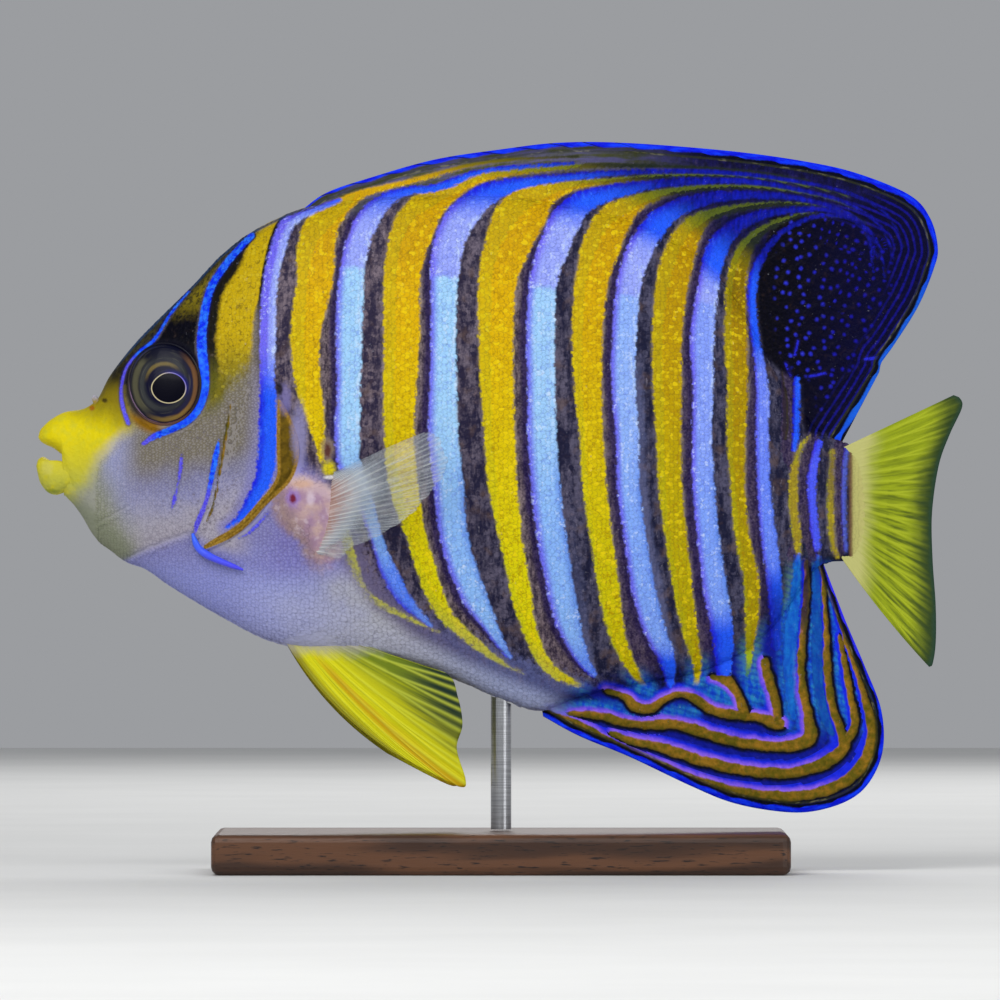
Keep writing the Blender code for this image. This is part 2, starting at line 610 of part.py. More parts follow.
COLOURS = {
    "head": ((0.42, 0.38, 0.16), 0.45), "lower_jaw": ((0.72, 0.66, 0.12), 0.45),
    "gill_cover": ((0.34, 0.30, 0.36), 0.45), "cheek_spine": ((0.10, 0.16, 0.85), 0.35),
    "torso": ((0.62, 0.52, 0.10), 0.45), "tail_stem": ((0.45, 0.42, 0.30), 0.45),
    "dorsal_fin": ((0.05, 0.07, 0.22), 0.45), "anal_fin": ((0.24, 0.20, 0.24), 0.45),
    "caudal_fin": ((0.42, 0.46, 0.10), 0.5), "pelvic_fin": ((0.62, 0.60, 0.04), 0.5),
    "pectoral_fin": ((0.60, 0.60, 0.48), 0.4), "eye": ((0.02, 0.02, 0.05), 0.1),
    "stand_base": ((0.06, 0.035, 0.022), 0.45), "stand_rod": ((0.55, 0.56, 0.58), 0.3),
}
for ob in fish.objects:
    key = ob.name.replace("_left", "").replace("_right", "")
    colour, roughness = COLOURS[key]
    paint(ob, colour, roughness, 1.0 if key == "stand_rod" else 0.0)
for ob in tools.objects:
    hidden_tool(ob)
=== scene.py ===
# %% [markdown]
# # A regal angelfish, life size
# This lesson dresses a packed set of plain solids as a museum-type model of a regal angelfish. The fish
# swims level, snout toward -X and left flank toward the camera, over a flat wooden stand. All shapes are
# surfaces worked out with numpy, in millimetres, and every finish is a procedural material that reads
# object coordinates or attributes stored on the points.

# %% Load the frame
import math

import bmesh
import bpy
import numpy as np
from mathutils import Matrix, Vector


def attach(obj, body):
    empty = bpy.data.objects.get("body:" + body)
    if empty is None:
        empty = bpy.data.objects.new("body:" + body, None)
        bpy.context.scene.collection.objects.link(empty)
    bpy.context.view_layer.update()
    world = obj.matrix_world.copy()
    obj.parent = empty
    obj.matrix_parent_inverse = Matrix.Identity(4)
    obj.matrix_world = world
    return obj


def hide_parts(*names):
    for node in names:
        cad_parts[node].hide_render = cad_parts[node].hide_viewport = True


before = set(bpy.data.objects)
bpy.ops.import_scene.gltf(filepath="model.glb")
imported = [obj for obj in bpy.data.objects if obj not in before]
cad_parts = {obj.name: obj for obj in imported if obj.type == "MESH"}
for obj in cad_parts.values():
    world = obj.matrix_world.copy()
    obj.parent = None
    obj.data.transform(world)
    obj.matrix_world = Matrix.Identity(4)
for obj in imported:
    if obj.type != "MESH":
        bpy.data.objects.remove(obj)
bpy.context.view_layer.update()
MM = 0.001
print("nodes:", sorted(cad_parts))

# %% [markdown]
# ## Lines of the body
# A fish body is a loft: at each place along its length stands a lens-shaped section. Four lines give the
# section's top, bottom, half width and widest level. They use the same values as the solids, so that the
# skin lies exactly where the solids are. A smooth curve that never overshoots its points keeps the
# outline calm between them.

# %% Body lines and the curve through them
BACK_LINE = [
    (-90.2, 84.9), (-89.9, 86), (-89.2, 86.9), (-87.6, 88.3), (-84.8, 89.7), (-81.7, 90.2), (-78.9, 91.9),
    (-76.5, 96.3), (-74, 99.8), (-71, 103.4), (-66.4, 108.1), (-60.2, 114.2), (-54, 120.7), (-47.8, 125.2),
    (-38, 129.4), (-28, 131), (-15, 131.9), (0, 131.7), (12, 130.2), (22, 127.9), (31, 124.4), (38.5, 119.8),
    (44.5, 113.4), (49.5, 105.2), (54, 96.6), (58.5, 89.9), (63, 85.4), (67.6, 83.3), (71, 81.5),
]
BELLY_LINE = [
    (-85, 73.4), (-84.4, 72.7), (-83.5, 71.8), (-81.6, 69.2), (-79.8, 66.1), (-78.2, 64.2), (-76, 62.6),
    (-73.2, 60.5), (-69.5, 59.1), (-65.1, 56.1), (-54.6, 49.8), (-45.2, 45.1), (-38, 43.3), (-29, 42.6), (-18, 40.5),
    (-9.6, 37.8), (0, 33.8), (7.5, 31.5), (15, 34), (25, 36.4), (36, 38.4), (46, 42.2), (52.5, 47.5), (57.5, 54),
    (61.5, 59.3), (64.5, 60.5), (67.6, 60.6), (71, 62.5),
]
MOUTH_ROOF = [(-90.2, 84.7), (-89.9, 84.1), (-88.8, 83.3), (-87.4, 82.7), (-86.3, 81.9), (-85.4, 81.2)]
HALF_WIDTH = [
    (-90.2, 0.5), (-89.9, 1.9), (-89, 3.3), (-87.2, 4.2), (-85.6, 4.4), (-84, 4.5), (-80, 5.7), (-75, 7.4),
    (-70, 8.9), (-65, 10.2), (-60, 11.3), (-50, 12.7), (-40, 13.3), (-30, 13.2), (-20, 12.8), (-10, 12.2), (0, 11.4),
    (10, 10.4), (20, 9.2), (30, 7.9), (40, 6.6), (50, 5.3), (58, 4.3), (64, 3.3), (67.6, 2.3), (71, 1),
]
WIDEST_LEVEL = [(-90.2, 84.8), (-88, 84.9), (-86, 84.4), (-84, 82), (-75, 83), (-50, 86), (-20, 86), (10, 83),
                (40, 77), (71, 72)]
BACK_RIDGE = [(-90.2, 0.2), (-84, 0.5), (-50, 0.8), (-36, 1.5), (64, 1.5), (71, 0.9)]
BELLY_RIDGE = [(-90.2, 0.2), (-84, 0.5), (-60, 1), (5, 1.2), (12, 1.5), (64, 1.5), (71, 0.9)]
TAIL_BEND_START, TAIL_BEND = 40.0, 0.0019
MOUTH_CORNER_X = -85.2


def profile(points, x):
    """Cubic pieces through the points; each slope is the harmonic mean of its neighbours' slopes."""
    px, pz = np.array(points, dtype=float).T
    slope = np.diff(pz) / np.diff(px)
    same = slope[:-1] * slope[1:] > 0.0
    total = np.where(same, slope[:-1] + slope[1:], 1.0)
    inner = np.where(same, 2.0 * slope[:-1] * slope[1:] / total, 0.0)
    tangent = np.concatenate([slope[:1], inner, slope[-1:]])
    x = np.clip(x, px[0], px[-1])
    k = np.clip(np.searchsorted(px, x, side="right") - 1, 0, len(px) - 2)
    h = px[k + 1] - px[k]
    t = (x - px[k]) / h
    return ((2 * t**3 - 3 * t**2 + 1) * pz[k] + (t**3 - 2 * t**2 + t) * h * tangent[k]
            + (3 * t**2 - 2 * t**3) * pz[k + 1] + (t**3 - t**2) * h * tangent[k + 1])


def step(low, high, value):
    """0 below low, 1 above high, and a smooth S curve between them."""
    t = np.clip((value - low) / (high - low), 0.0, 1.0)
    return t * t * (3.0 - 2.0 * t)


def side_bend(x):
    """The tail end bends away from the camera with the square of its distance."""
    return TAIL_BEND * np.maximum(0.0, x - TAIL_BEND_START) ** 2


def top_of(x):
    """Height of the back."""
    return profile(BACK_LINE, x)


def low_of(x):
    """Height of the belly, or of the mouth's roof in front of the mouth corner."""
    return np.where(x < MOUTH_CORNER_X, profile(MOUTH_ROOF, x), profile(BELLY_LINE, x))


print("body from", BACK_LINE[0][0], "to", BACK_LINE[-1][0], "mm")

# %% [markdown]
# ## Points on the flank
# Everything that sits on the fish, such as a scale or an eye rim, needs the flank's half width at a given
# length and height. It comes from the same section rule: an ellipse-like arc between the ridge of the
# back and the widest level, and another down to the belly. A marking is a smooth line with a half width,
# and its distance from any point says whether the point lies in it.

# %% Flank height and distances to lines
EYE_X, EYE_Z, EYE_RX, EYE_RZ = -65.45, 95.05, 7.15, 8.0
ARC_POWER = 1.08
GILL_REAR = [(-58, 62.3), (-53.4, 64.3), (-48.2, 68.3), (-43.6, 73.9), (-40, 78), (-39.1, 80.8), (-39.3, 83.8),
             (-40.7, 87.6), (-42.4, 91.8), (-43.5, 95.4)]
CURVE_PARTS = 4
BOX_MARGIN = 3.0


def flank(x, z):
    """Half width of the bare body at length x and height z."""
    top, low, level = top_of(x), low_of(x), profile(WIDEST_LEVEL, x)
    up = z >= level
    s = np.where(up, (z - level) / (top - level), (level - z) / (level - low))
    ridge = np.where(up, profile(BACK_RIDGE, x), profile(BELLY_RIDGE, x))
    arc = np.sqrt(np.clip(1.0 - s**2, 0.0, 1.0)) ** ARC_POWER
    return ridge + (profile(HALF_WIDTH, x) - ridge) * arc


def ellipse(x, z, cx, cz, rx, rz, turn=0.0):
    """1 on an ellipse's edge, 0 at its centre: distance in units of its turned radii."""
    c, s = math.cos(turn), math.sin(turn)
    a, b = (x - cx) * c + (z - cz) * s, (z - cz) * c - (x - cx) * s
    return np.sqrt((a / rx) ** 2 + (b / rz) ** 2)


def curve(points, parts=CURVE_PARTS):
    """Smooth curve through the points: each piece is a cubic set by its four nearest points."""
    pts = np.array(points, dtype=float)
    ends = np.vstack([2 * pts[0] - pts[1], pts, 2 * pts[-1] - pts[-2]])
    t = np.linspace(0.0, 1.0, parts, endpoint=False)[:, None]
    a, b, c, d = (ends[n:len(pts) - 1 + n, None, :] for n in range(4))
    fine = 0.5 * (2 * b + (c - a) * t + (2 * a - 5 * b + 4 * c - d) * t**2 + (3 * b - a - 3 * c + d) * t**3)
    return np.vstack([fine.reshape(-1, pts.shape[1]), pts[-1:]])


def stroke(points, x, z, reach=7.0, parts=CURVE_PARTS):
    """Distance to a line of varying half width: (distance minus width, signed side, place along it).

    For each straight piece the nearest point is found by projection, and the least value counts. Points
    further away than the reach keep the reach itself. The side is positive below a line towards +x.
    """
    pts = curve(points, parts)
    shape = np.shape(x)
    x, z = np.ravel(x), np.ravel(z)
    low, high = pts[:, :2].min(axis=0) - reach - BOX_MARGIN, pts[:, :2].max(axis=0) + reach + BOX_MARGIN
    near = np.flatnonzero((x > low[0]) & (x < high[0]) & (z > low[1]) & (z < high[1]))
    nx, nz = x[near], z[near]
    best, side, place = np.full(len(near), reach), np.zeros(len(near)), np.zeros(len(near))
    wide = pts[:, 2] if pts.shape[1] > 2 else np.zeros(len(pts))
    for i in range(len(pts) - 1):
        (ax, az), (bx, bz) = pts[i, :2], pts[i + 1, :2]
        dx, dz = bx - ax, bz - az
        room = reach + max(wide[i], wide[i + 1])
        hit = np.flatnonzero((np.abs(nx - 0.5 * (ax + bx)) < 0.5 * abs(dx) + room)
                             & (np.abs(nz - 0.5 * (az + bz)) < 0.5 * abs(dz) + room))
        hx, hz = nx[hit] - ax, nz[hit] - az
        t = np.clip((hx * dx + hz * dz) / (dx * dx + dz * dz), 0.0, 1.0)
        gap = np.hypot(hx - t * dx, hz - t * dz)
        width = np.maximum(wide[i] + t * (wide[i + 1] - wide[i]), 0.0)
        closer = gap - width < best[hit]
        at = hit[closer]
        best[at] = (gap - width)[closer]
        side[at] = (np.sign(hx * dz - hz * dx) * gap / np.maximum(width, 0.01))[closer]
        place[at] = (i + t[closer]) / parts
    found = []
    for part, far in ((best, float(reach)), (side, 0.0), (place, 0.0)):
        whole = np.full(len(x), far)
        whole[near] = part
        found.append(whole.reshape(shape))
    return found


CREASE = [(-52.6, 91), (-53.8, 83.4), (-55.3, 75), (-57, 70.3), (-60.2, 65.6)]
JAW_CREASE = [(-85.6, 81.3), (-84.9, 79), (-84.3, 77), (-83.6, 75.2)]
CHIN_CREASE = [(-81, 67.5), (-78.5, 68.3), (-76, 69.5), (-73, 71)]
CHEEK_EDGE = [(-74, 60.7), (-68, 63.5), (-61, 66)]
LATERAL_LINE = [(-44, 99), (-33, 110.5), (-22, 114.5), (-13, 116), (-4, 116), (5.5, 113.9), (14, 112), (22, 109.5),
                (30, 106), (38, 100), (45, 94), (54, 86), (66, 76)]
FIN_LOBE = (-37.5, 69.5, 5, 8.5, 0.15)
# bumps and dents: height, power of the fade, (x, z, half length, half height)
MOUNDS = [(0.25, 2, (-36.6, 75.2, 1.5, 1.3)), (0.3, 2, (-36.3, 71.9, 1.2, 1.5)), (-1.1, 2, (-33.9, 81.5, 1.5, 2.4)),
          (0.5, 2, (-34.2, 78.6, 1.3, 1.6)), (-0.45, 4, (-79.6, 90.4, 0.55, 0.5)),
          (-0.55, 4, (-77.2, 91.9, 0.65, 0.55)), (0.35, 2, (-82.5, 85.5, 4.5, 4.5))]


def relief(x, z):
    """Height of the skin's forms over the bare body: eye socket, lobe under the pectoral fin, creases."""
    eye = ellipse(x, z, EYE_X, EYE_Z, EYE_RX, EYE_RZ)
    h = -3.0 * step(0, 0.13, 1 - eye) + 0.3 * np.exp(-((eye - 1.09) / 0.07) ** 2)
    h = h - 0.22 * np.exp(-((eye - 1.22) / 0.05) ** 2) * step(1, -0.6, (z - EYE_Z) / 7)
    h = h + 1.3 * np.exp(-ellipse(x, z, *FIN_LOBE) ** 2 * 1.3)
    for line, depth, half in ((CREASE, 0.28, 0.55), (JAW_CREASE, 0.32, 0.5), (CHIN_CREASE, 0.16, 0.35),
                              (CHEEK_EDGE, 0.22, 0.45), (LATERAL_LINE, 0.1, 0.5)):
        h = h - depth * np.exp(-(stroke(line, x, z)[0] / half) ** 2)
    for height, power, oval in MOUNDS:
        h = h + height * np.exp(-ellipse(x, z, *oval) ** power)
    return h


print("flank at the eye:", round(float(flank(np.array(EYE_X), np.array(EYE_Z))), 2), "mm")

# %% [markdown]
# ## The markings as distances
# The colours of this fish are bars, lines and patches with crisp, slightly ragged edges. Painting an image
# would blur them, so each marking is a line with a half width that changes along it, and every point of
# the mesh stores how far it lies from the nearest one. The material turns these distances into edges of
# any sharpness, and the same distances serve skin, scales and fins, so a bar runs on from one to the next.

# %% Bars and lines as (x, z, half width), bottom to top
YELLOW_BARS = [
    [(-34.8, 80.2, 0.5), (-35.4, 85, 1.2), (-36.4, 90, 2), (-37.6, 96, 2.5), (-38, 105, 2.9), (-36.2, 115, 3.5),
     (-36, 121, 3.7), (-34.8, 126, 3.2), (-31.5, 129.3, 1.9), (-27.5, 132, 0.9), (-22, 133.6, 0.55),
     (-15, 135.3, 0.5), (-7, 137.6, 0.4), (2, 138.9, 0.3), (15, 139.5, 0.25)],
    [(-12, 46.6, 0.1), (-16, 48.6, 0.3), (-20.4, 50.6, 0.5), (-24.1, 52.6, 0.7), (-27.3, 55.4, 0.9), (-29.2, 61, 1.1),
     (-30.6, 65.8, 1.2), (-31.5, 67.5, 0.8)],
    [(4.4, 38.6, 0.1), (0.2, 40.8, 0.4), (-3, 43, 0.7), (-6.7, 46.1, 1), (-10.4, 49.6, 1.3), (-13.2, 55, 1.8),
     (-16.3, 65, 1.9), (-18.9, 75, 2.8), (-19.8, 85, 2.9), (-19.6, 95, 3.2), (-19.3, 105, 3.5), (-19.3, 115, 3.5),
     (-18.4, 121, 3.8), (-16.6, 126.5, 4), (-13.2, 130.6, 2.9), (-9, 133, 1.7), (-4.5, 135.3, 1.1), (1, 136.3, 0.7),
     (10, 137.2, 0.55), (20, 137.7, 0.45), (34, 137.5, 0.35), (48, 136.6, 0.25), (60, 134.8, 0.15)],
    [(15.6, 36.4, 0.4), (12.6, 37.6, 0.8), (9.6, 39.6, 1.1), (7.2, 43, 1.2), (5, 49, 1.5), (3.8, 55, 2),
     (1.9, 65, 2.2), (0.4, 75, 2.8), (-0.3, 85, 3), (-0.8, 95, 3.2), (-1, 105, 3.4), (-0.7, 115, 3.7),
     (1.2, 122, 4.4), (4, 128, 4.8), (7.6, 131.3, 2.7), (12, 133.3, 1.3), (17, 134.2, 0.8), (24, 134.9, 0.6),
     (33, 135.7, 0.5), (46, 135.6, 0.35), (58, 134, 0.2), (68, 131.6, 0.1)],
    [(28.4, 35.6, 0.4), (26.2, 38.6, 0.9), (23.8, 43, 1.3), (22.3, 47.5, 1.7), (21, 55, 2.05), (19.5, 65, 2.15),
     (18.2, 75, 2.35), (17.6, 85, 2.3), (16.9, 95, 2.7), (16.8, 105, 3), (17.6, 115, 3.2), (19.5, 122, 3.7),
     (22, 127, 3.3), (26, 130.2, 1.7), (31, 132.2, 1), (37, 133.2, 0.7), (45, 133.6, 0.5), (53, 133.2, 0.35),
     (62, 131.9, 0.2), (70, 129.2, 0.1)],
    [(37.9, 36.3, 0.5), (38.2, 40.5, 0.9), (37, 46, 1.4), (35.6, 54, 1.8), (34.1, 65, 2.15), (32.9, 75, 2.3),
     (32.6, 85, 2.5), (32.3, 95, 2.8), (32.3, 105, 2.9), (33.2, 114, 3.2), (34.5, 119.5, 3.1), (36.4, 124.2, 2.6),
     (39.3, 127.3, 1.5), (43.5, 128.8, 0.9), (50, 129.9, 0.6), (58, 130.2, 0.35), (66, 129, 0.2), (72, 126.2, 0.1)],
    [(48.2, 38.6, 0.4), (48.4, 43.5, 0.8), (48.8, 50, 1.3), (48.7, 57, 1.5), (47, 65, 1.4), (46.1, 75, 1.45),
     (45.8, 85, 1.8), (46, 95, 2), (45.7, 105, 2.2), (45.8, 114, 1.9), (46.7, 119, 1.8), (48.4, 122.6, 1.4),
     (51.2, 125.2, 0.9), (55, 127, 0.55), (59.5, 128.2, 0.3), (66, 127.9, 0.15)],
    [(57.9, 62.5, 0.5), (57.6, 66, 0.85), (57, 70, 0.85), (56.9, 76, 0.85), (57.4, 80, 0.6), (58.4, 82.8, 0.4),
     (60, 85, 0.2)],
    [(65.6, 61.5, 0.3), (64.6, 64, 0.5), (64.2, 70, 0.65), (64.3, 76, 0.6), (64.6, 82, 0.45)],
]
BLUE_BARS = [
    [(-53.5, 67.2, 0.2), (-52.2, 67.9, 0.45), (-50.7, 69.1, 0.75), (-48.9, 71.6, 1.1), (-47.2, 74.4, 1.4),
     (-46, 77.2, 1.7), (-45.5, 81, 1.8), (-45.3, 86, 1.75), (-45.3, 92, 1.6), (-45.4, 97, 1.4), (-45.3, 105, 1.55),
     (-44.8, 115, 1.4), (-42.3, 125, 1.5), (-39.5, 127.6, 0.8), (-35.5, 129.3, 0.6), (-31.5, 131, 0.4)],
    [(-13.6, 48, 0.4), (-16.6, 50.8, 0.9), (-19.6, 54.5, 1.5), (-22, 59, 1.5), (-23.8, 64, 1.2), (-27, 74, 1.6),
     (-29.6, 80, 2.2), (-29.8, 85, 2.45), (-29.6, 95, 2.3), (-29.5, 105, 2.6), (-29.1, 115, 2.5), (-28, 122, 2.3),
     (-25.6, 127.5, 2.2), (-22.3, 131, 1.5), (-18, 132.8, 0.8), (-13.5, 133.2, 0.8), (-9, 134.6, 0.8),
     (-4.5, 136.4, 0.5), (3, 137.4, 0.4), (14, 138.2, 0.3)],
    [(1.6, 42, 0.4), (-0.6, 45.4, 1), (-2.6, 49, 1.6), (-5.6, 54.5, 2.5), (-9.1, 65, 2.7), (-10.1, 75, 2.9),
     (-11.2, 85, 2.95), (-11.2, 95, 2.65), (-11.2, 105, 2.4), (-11, 115, 2.7), (-10.5, 121, 2.9), (-8.4, 126.5, 3),
     (-4.6, 130.8, 2.5), (0, 133.2, 1.7), (5, 134.5, 1), (12, 135.3, 0.7), (20, 136.1, 0.6), (30, 136.6, 0.45),
     (44, 136.3, 0.4), (56, 134.9, 0.3), (67, 132.6, 0.25), (75, 128.6, 0.2), (78.6, 122, 0.15)],
    [(18, 38.5, 0.5), (15.9, 41.5, 1.3), (13.9, 46, 2), (12.2, 52, 2.6), (9.9, 65, 2.8), (8.7, 75, 2.8), (8, 85, 2.8),
     (7.8, 95, 2.65), (7.7, 105, 2.8), (8.2, 115, 2.65), (10, 121, 2.9), (12.6, 127, 2.9), (16, 130.6, 2.2),
     (21, 132.4, 1.5), (27, 133.6, 1), (36, 134.6, 0.7), (48, 134.6, 0.5), (58, 133, 0.35), (67, 130.6, 0.3),
     (74, 126, 0.25), (76.8, 119.5, 0.15)],
    [(33, 36.6, 0.8), (32.4, 41.5, 1.6), (30.4, 46, 2), (28.2, 53, 2.3), (26.1, 65, 2.15), (24.8, 75, 2.2),
     (24.5, 85, 2.2), (23.8, 95, 2.35), (24, 105, 2.35), (25, 115, 2.4), (27, 121, 2.5), (30, 126, 2.3),
     (33.5, 128.9, 1.8), (38.5, 130.9, 1.3), (45, 131.9, 0.9), (54, 131.8, 0.6), (62, 130.4, 0.4), (69, 127.6, 0.3),
     (73.6, 122.6, 0.2), (75, 116, 0.12)],
    [(43.4, 39.2, 1.5), (43.2, 46, 2.1), (41.7, 55, 2.3), (40.3, 65, 2.15), (39.4, 75, 2.15), (39.1, 85, 1.85),
     (39.3, 95, 2), (39.2, 105, 2.3), (40.4, 114, 2), (41.4, 119.5, 2.1), (43, 123, 1.9), (46.3, 126.2, 1.3),
     (51.5, 128.3, 0.8), (58.5, 129.2, 0.5), (65, 128.8, 0.35), (70.6, 125.6, 0.25), (73.4, 119.6, 0.15)],
    [(53.6, 44, 1), (53.4, 55, 1.4), (52.2, 65, 1.5), (51.2, 75, 1.25), (50.9, 85, 1.25), (50.9, 94, 1.2),
     (50.3, 99.5, 0.95), (49.2, 106.5, 0.8), (48.9, 112.4, 0.85), (49.6, 117, 0.85), (51, 120.2, 0.75),
     (53.9, 123.9, 0.5), (58.7, 127, 0.4), (63.7, 128, 0.3), (68.6, 127.2, 0.25), (71.6, 123.6, 0.2),
     (72.6, 117, 0.15)],
    [(57, 30, 0.6), (56.4, 34, 1), (56.2, 40, 1.3), (56.4, 46, 1.4), (57.3, 52, 1.1), (57.6, 58, 0.9),
     (57.8, 61.5, 0.5)],
    [(64.5, 27, 0.6), (63.2, 30, 0.9), (62, 36, 1), (61.6, 43, 1.1), (61.5, 50, 1), (61.5, 57, 0.8),
     (61.8, 61.5, 0.4)],
    [(61.7, 63, 0.6), (61.2, 66, 0.75), (60.7, 71, 0.8), (60.5, 76, 0.85), (61.1, 80, 0.8), (62, 84, 0.55)],
    [(57.2, 82.5, 0.5), (57.5, 87, 0.6), (57.6, 92, 0.6), (57.7, 96, 0.6)],
    [(67.2, 62.5, 0.3), (66.8, 70, 0.42), (66.9, 78, 0.45), (67.4, 82.5, 0.4)],
]
BLUE_LINES = [
    [(-69.6, 83.4, 0.3), (-67.5, 84.8, 0.55), (-64.5, 86, 0.62), (-61, 87.8, 0.7), (-58.7, 90.4, 0.75),
     (-57.6, 94, 0.8), (-57.7, 98, 0.9), (-58.2, 102.6, 0.95), (-57.9, 107, 0.85), (-56.8, 112.9, 0.75),
     (-54.6, 117, 0.7), (-51.8, 120.6, 0.65), (-48.6, 124, 0.6)],
    [(-72.5, 87.4, 0.4), (-73.6, 90.7, 0.36), (-73.9, 94.2, 0.3), (-73, 98.1, 0.26), (-70.7, 101.1, 0.24),
     (-67.8, 103.4, 0.32), (-66, 106, 0.28), (-64.2, 109, 0.25), (-60.8, 113.2, 0.2)],
    [(-62, 81.6, 0.05), (-62.2, 79.8, 0.35), (-62.5, 77, 0.26), (-63, 74.5, 0.14), (-63.5, 72.6, 0.36),
     (-64, 70.8, 0.1)],
    [(-54.8, 84.2, 0.05), (-55.2, 82, 0.5), (-55.7, 79.6, 0.55), (-56.5, 75.5, 0.42), (-57.3, 72.2, 0.36),
     (-58.3, 69.7, 0.48), (-59.1, 67.6, 0.45), (-59.6, 65.8, 0.2)],
    [(57.9, 103.6, 0.2), (57.3, 100.8, 0.25)], [(55.5, 99.2, 0.2), (56.5, 96.6, 0.2)],
    [(60.2, 96.6, 0.22), (63.3, 97.2, 0.22)],
    [(-51, 65, 0.1), (-49.2, 65.9, 0.22), (-47.6, 67.4, 0.3), (-45, 70.2, 0.15)],
    [(73.9, 100.4, 0.3), (72.2, 100.1, 0.3), (70.9, 99.9, 0.2)],
]
BROWN_LINES = [
    [(9, 31.2, 0.3), (13.5, 29.5, 0.6), (18, 27.4, 0.6), (22.5, 24.8, 0.6), (27, 22.5, 0.6), (32, 20.6, 0.7),
     (37, 18.2, 0.9), (42, 16.5, 1), (47, 15.5, 0.95), (52, 14.9, 0.95), (57, 14.7, 0.95), (62, 15.4, 1),
     (66, 17, 1.1), (69.6, 19.6, 1.2), (71.6, 22.6, 1.2), (72.4, 26, 1.1), (72.2, 29.4, 0.9), (71.2, 33, 0.7),
     (69.7, 38, 0.55), (68, 43, 0.45), (66.5, 47.5, 0.35), (65, 53, 0.3), (63.8, 58.5, 0.25)],
    [(21.5, 27, 0.4), (25.5, 25.6, 0.7), (30, 24.6, 0.9), (34.5, 23.2, 1), (39.5, 21.6, 1), (44.5, 20.4, 1),
     (50, 19.5, 1), (55.5, 19.3, 1), (60, 20, 1.05), (64, 21.7, 1.2), (66.8, 24.2, 1.2), (66.2, 27.4, 0.8),
     (64.9, 31, 0.75), (63.9, 36, 0.75), (63.5, 42.3, 0.7), (63.4, 48.5, 0.5), (62.9, 54.7, 0.4), (62.7, 59.4, 0.3)],
    [(66.9, 25, 0.9), (69, 28.5, 0.75), (68.4, 33, 0.65), (67.3, 39, 0.6), (66, 46, 0.35)],
    [(13.5, 31, 0.4), (18.5, 30.6, 0.8), (23, 29.4, 0.8), (28, 28.7, 0.8), (33, 28.9, 1), (37, 28, 1), (42, 26.3, 1),
     (47, 25.2, 1), (52, 24.5, 1), (56.5, 24.6, 1.1), (60.2, 26, 1.3), (59.9, 30, 0.9), (58.9, 35, 0.8),
     (58.5, 41, 0.75), (59, 48, 0.65), (59.6, 55, 0.6), (59.4, 60.5, 0.4)],
    [(20.5, 35.4, 0.4), (24.2, 34, 0.7), (26, 32.2, 1), (29, 31.9, 0.9), (31.5, 33.4, 0.7), (34.6, 34.7, 0.6),
     (38, 33.7, 0.9), (41.2, 31.6, 1), (45.5, 30.6, 0.9), (50, 30.1, 0.8), (53.8, 29, 1.2), (54.6, 28.6, 0.6)],
    [(47.4, 31.2, 1), (46.2, 34.4, 0.8), (44.3, 37.2, 1), (41.2, 37.9, 0.4)],
    [(53.9, 29.6, 0.8), (53.4, 33.6, 0.8), (52.2, 37.4, 1), (51.4, 41, 0.7)],
    [(55.3, 84.5, 0.45), (55.5, 90, 0.55), (55, 95.5, 0.3), (54.6, 98, 0.1)],
    [(-52.6, 91, 0.15), (-53.3, 86, 0.3), (-54.3, 80, 0.3), (-55.4, 74, 0.3), (-56.3, 70.4, 0.2), (-57.2, 68.4, 0.1)],
]
MEMBRANE = [
    (-43.1, 92, 0.2), (-42.4, 89.2, 1.1), (-41.5, 84.4, 2.1), (-41.4, 80.4, 2.1), (-42.1, 77, 1.5), (-43.9, 74.4, 1),
    (-46.2, 72, 0.8), (-48.4, 69.5, 0.8), (-50.7, 67.2, 0.75), (-53.1, 65.6, 0.75), (-55.5, 64.4, 0.65),
    (-57.4, 63.4, 0.45),
]
BELLY_EDGE = [(-48, 98), (-43.5, 91.5), (-40.2, 84), (-37.6, 79), (-34, 76.5), (-32, 68), (-30.2, 60), (-24.5, 51.6),
              (-17, 46), (-8, 41.6), (0, 38.2), (9, 34.6), (20, 31)]
SNOUT_EDGE = [(-72.6, 100.5), (-73.8, 92), (-73.2, 87), (-75.5, 83.5), (-78.6, 80.3), (-80.2, 77), (-80.8, 75.2),
              (-83.5, 73.2), (-86, 70)]
FAR = 200.0


def nearest(lines, x, z):
    """Over several lines: the least distance, and the side and place of the line that has it."""
    best = [np.full(np.shape(x), 1e9), np.zeros(np.shape(x)), np.zeros(np.shape(x))]
    for line in lines:
        found = stroke(line, x, z)
        closer = found[0] < best[0]
        best = [np.where(closer, new, old) for new, old in zip(found, best)]
    return best


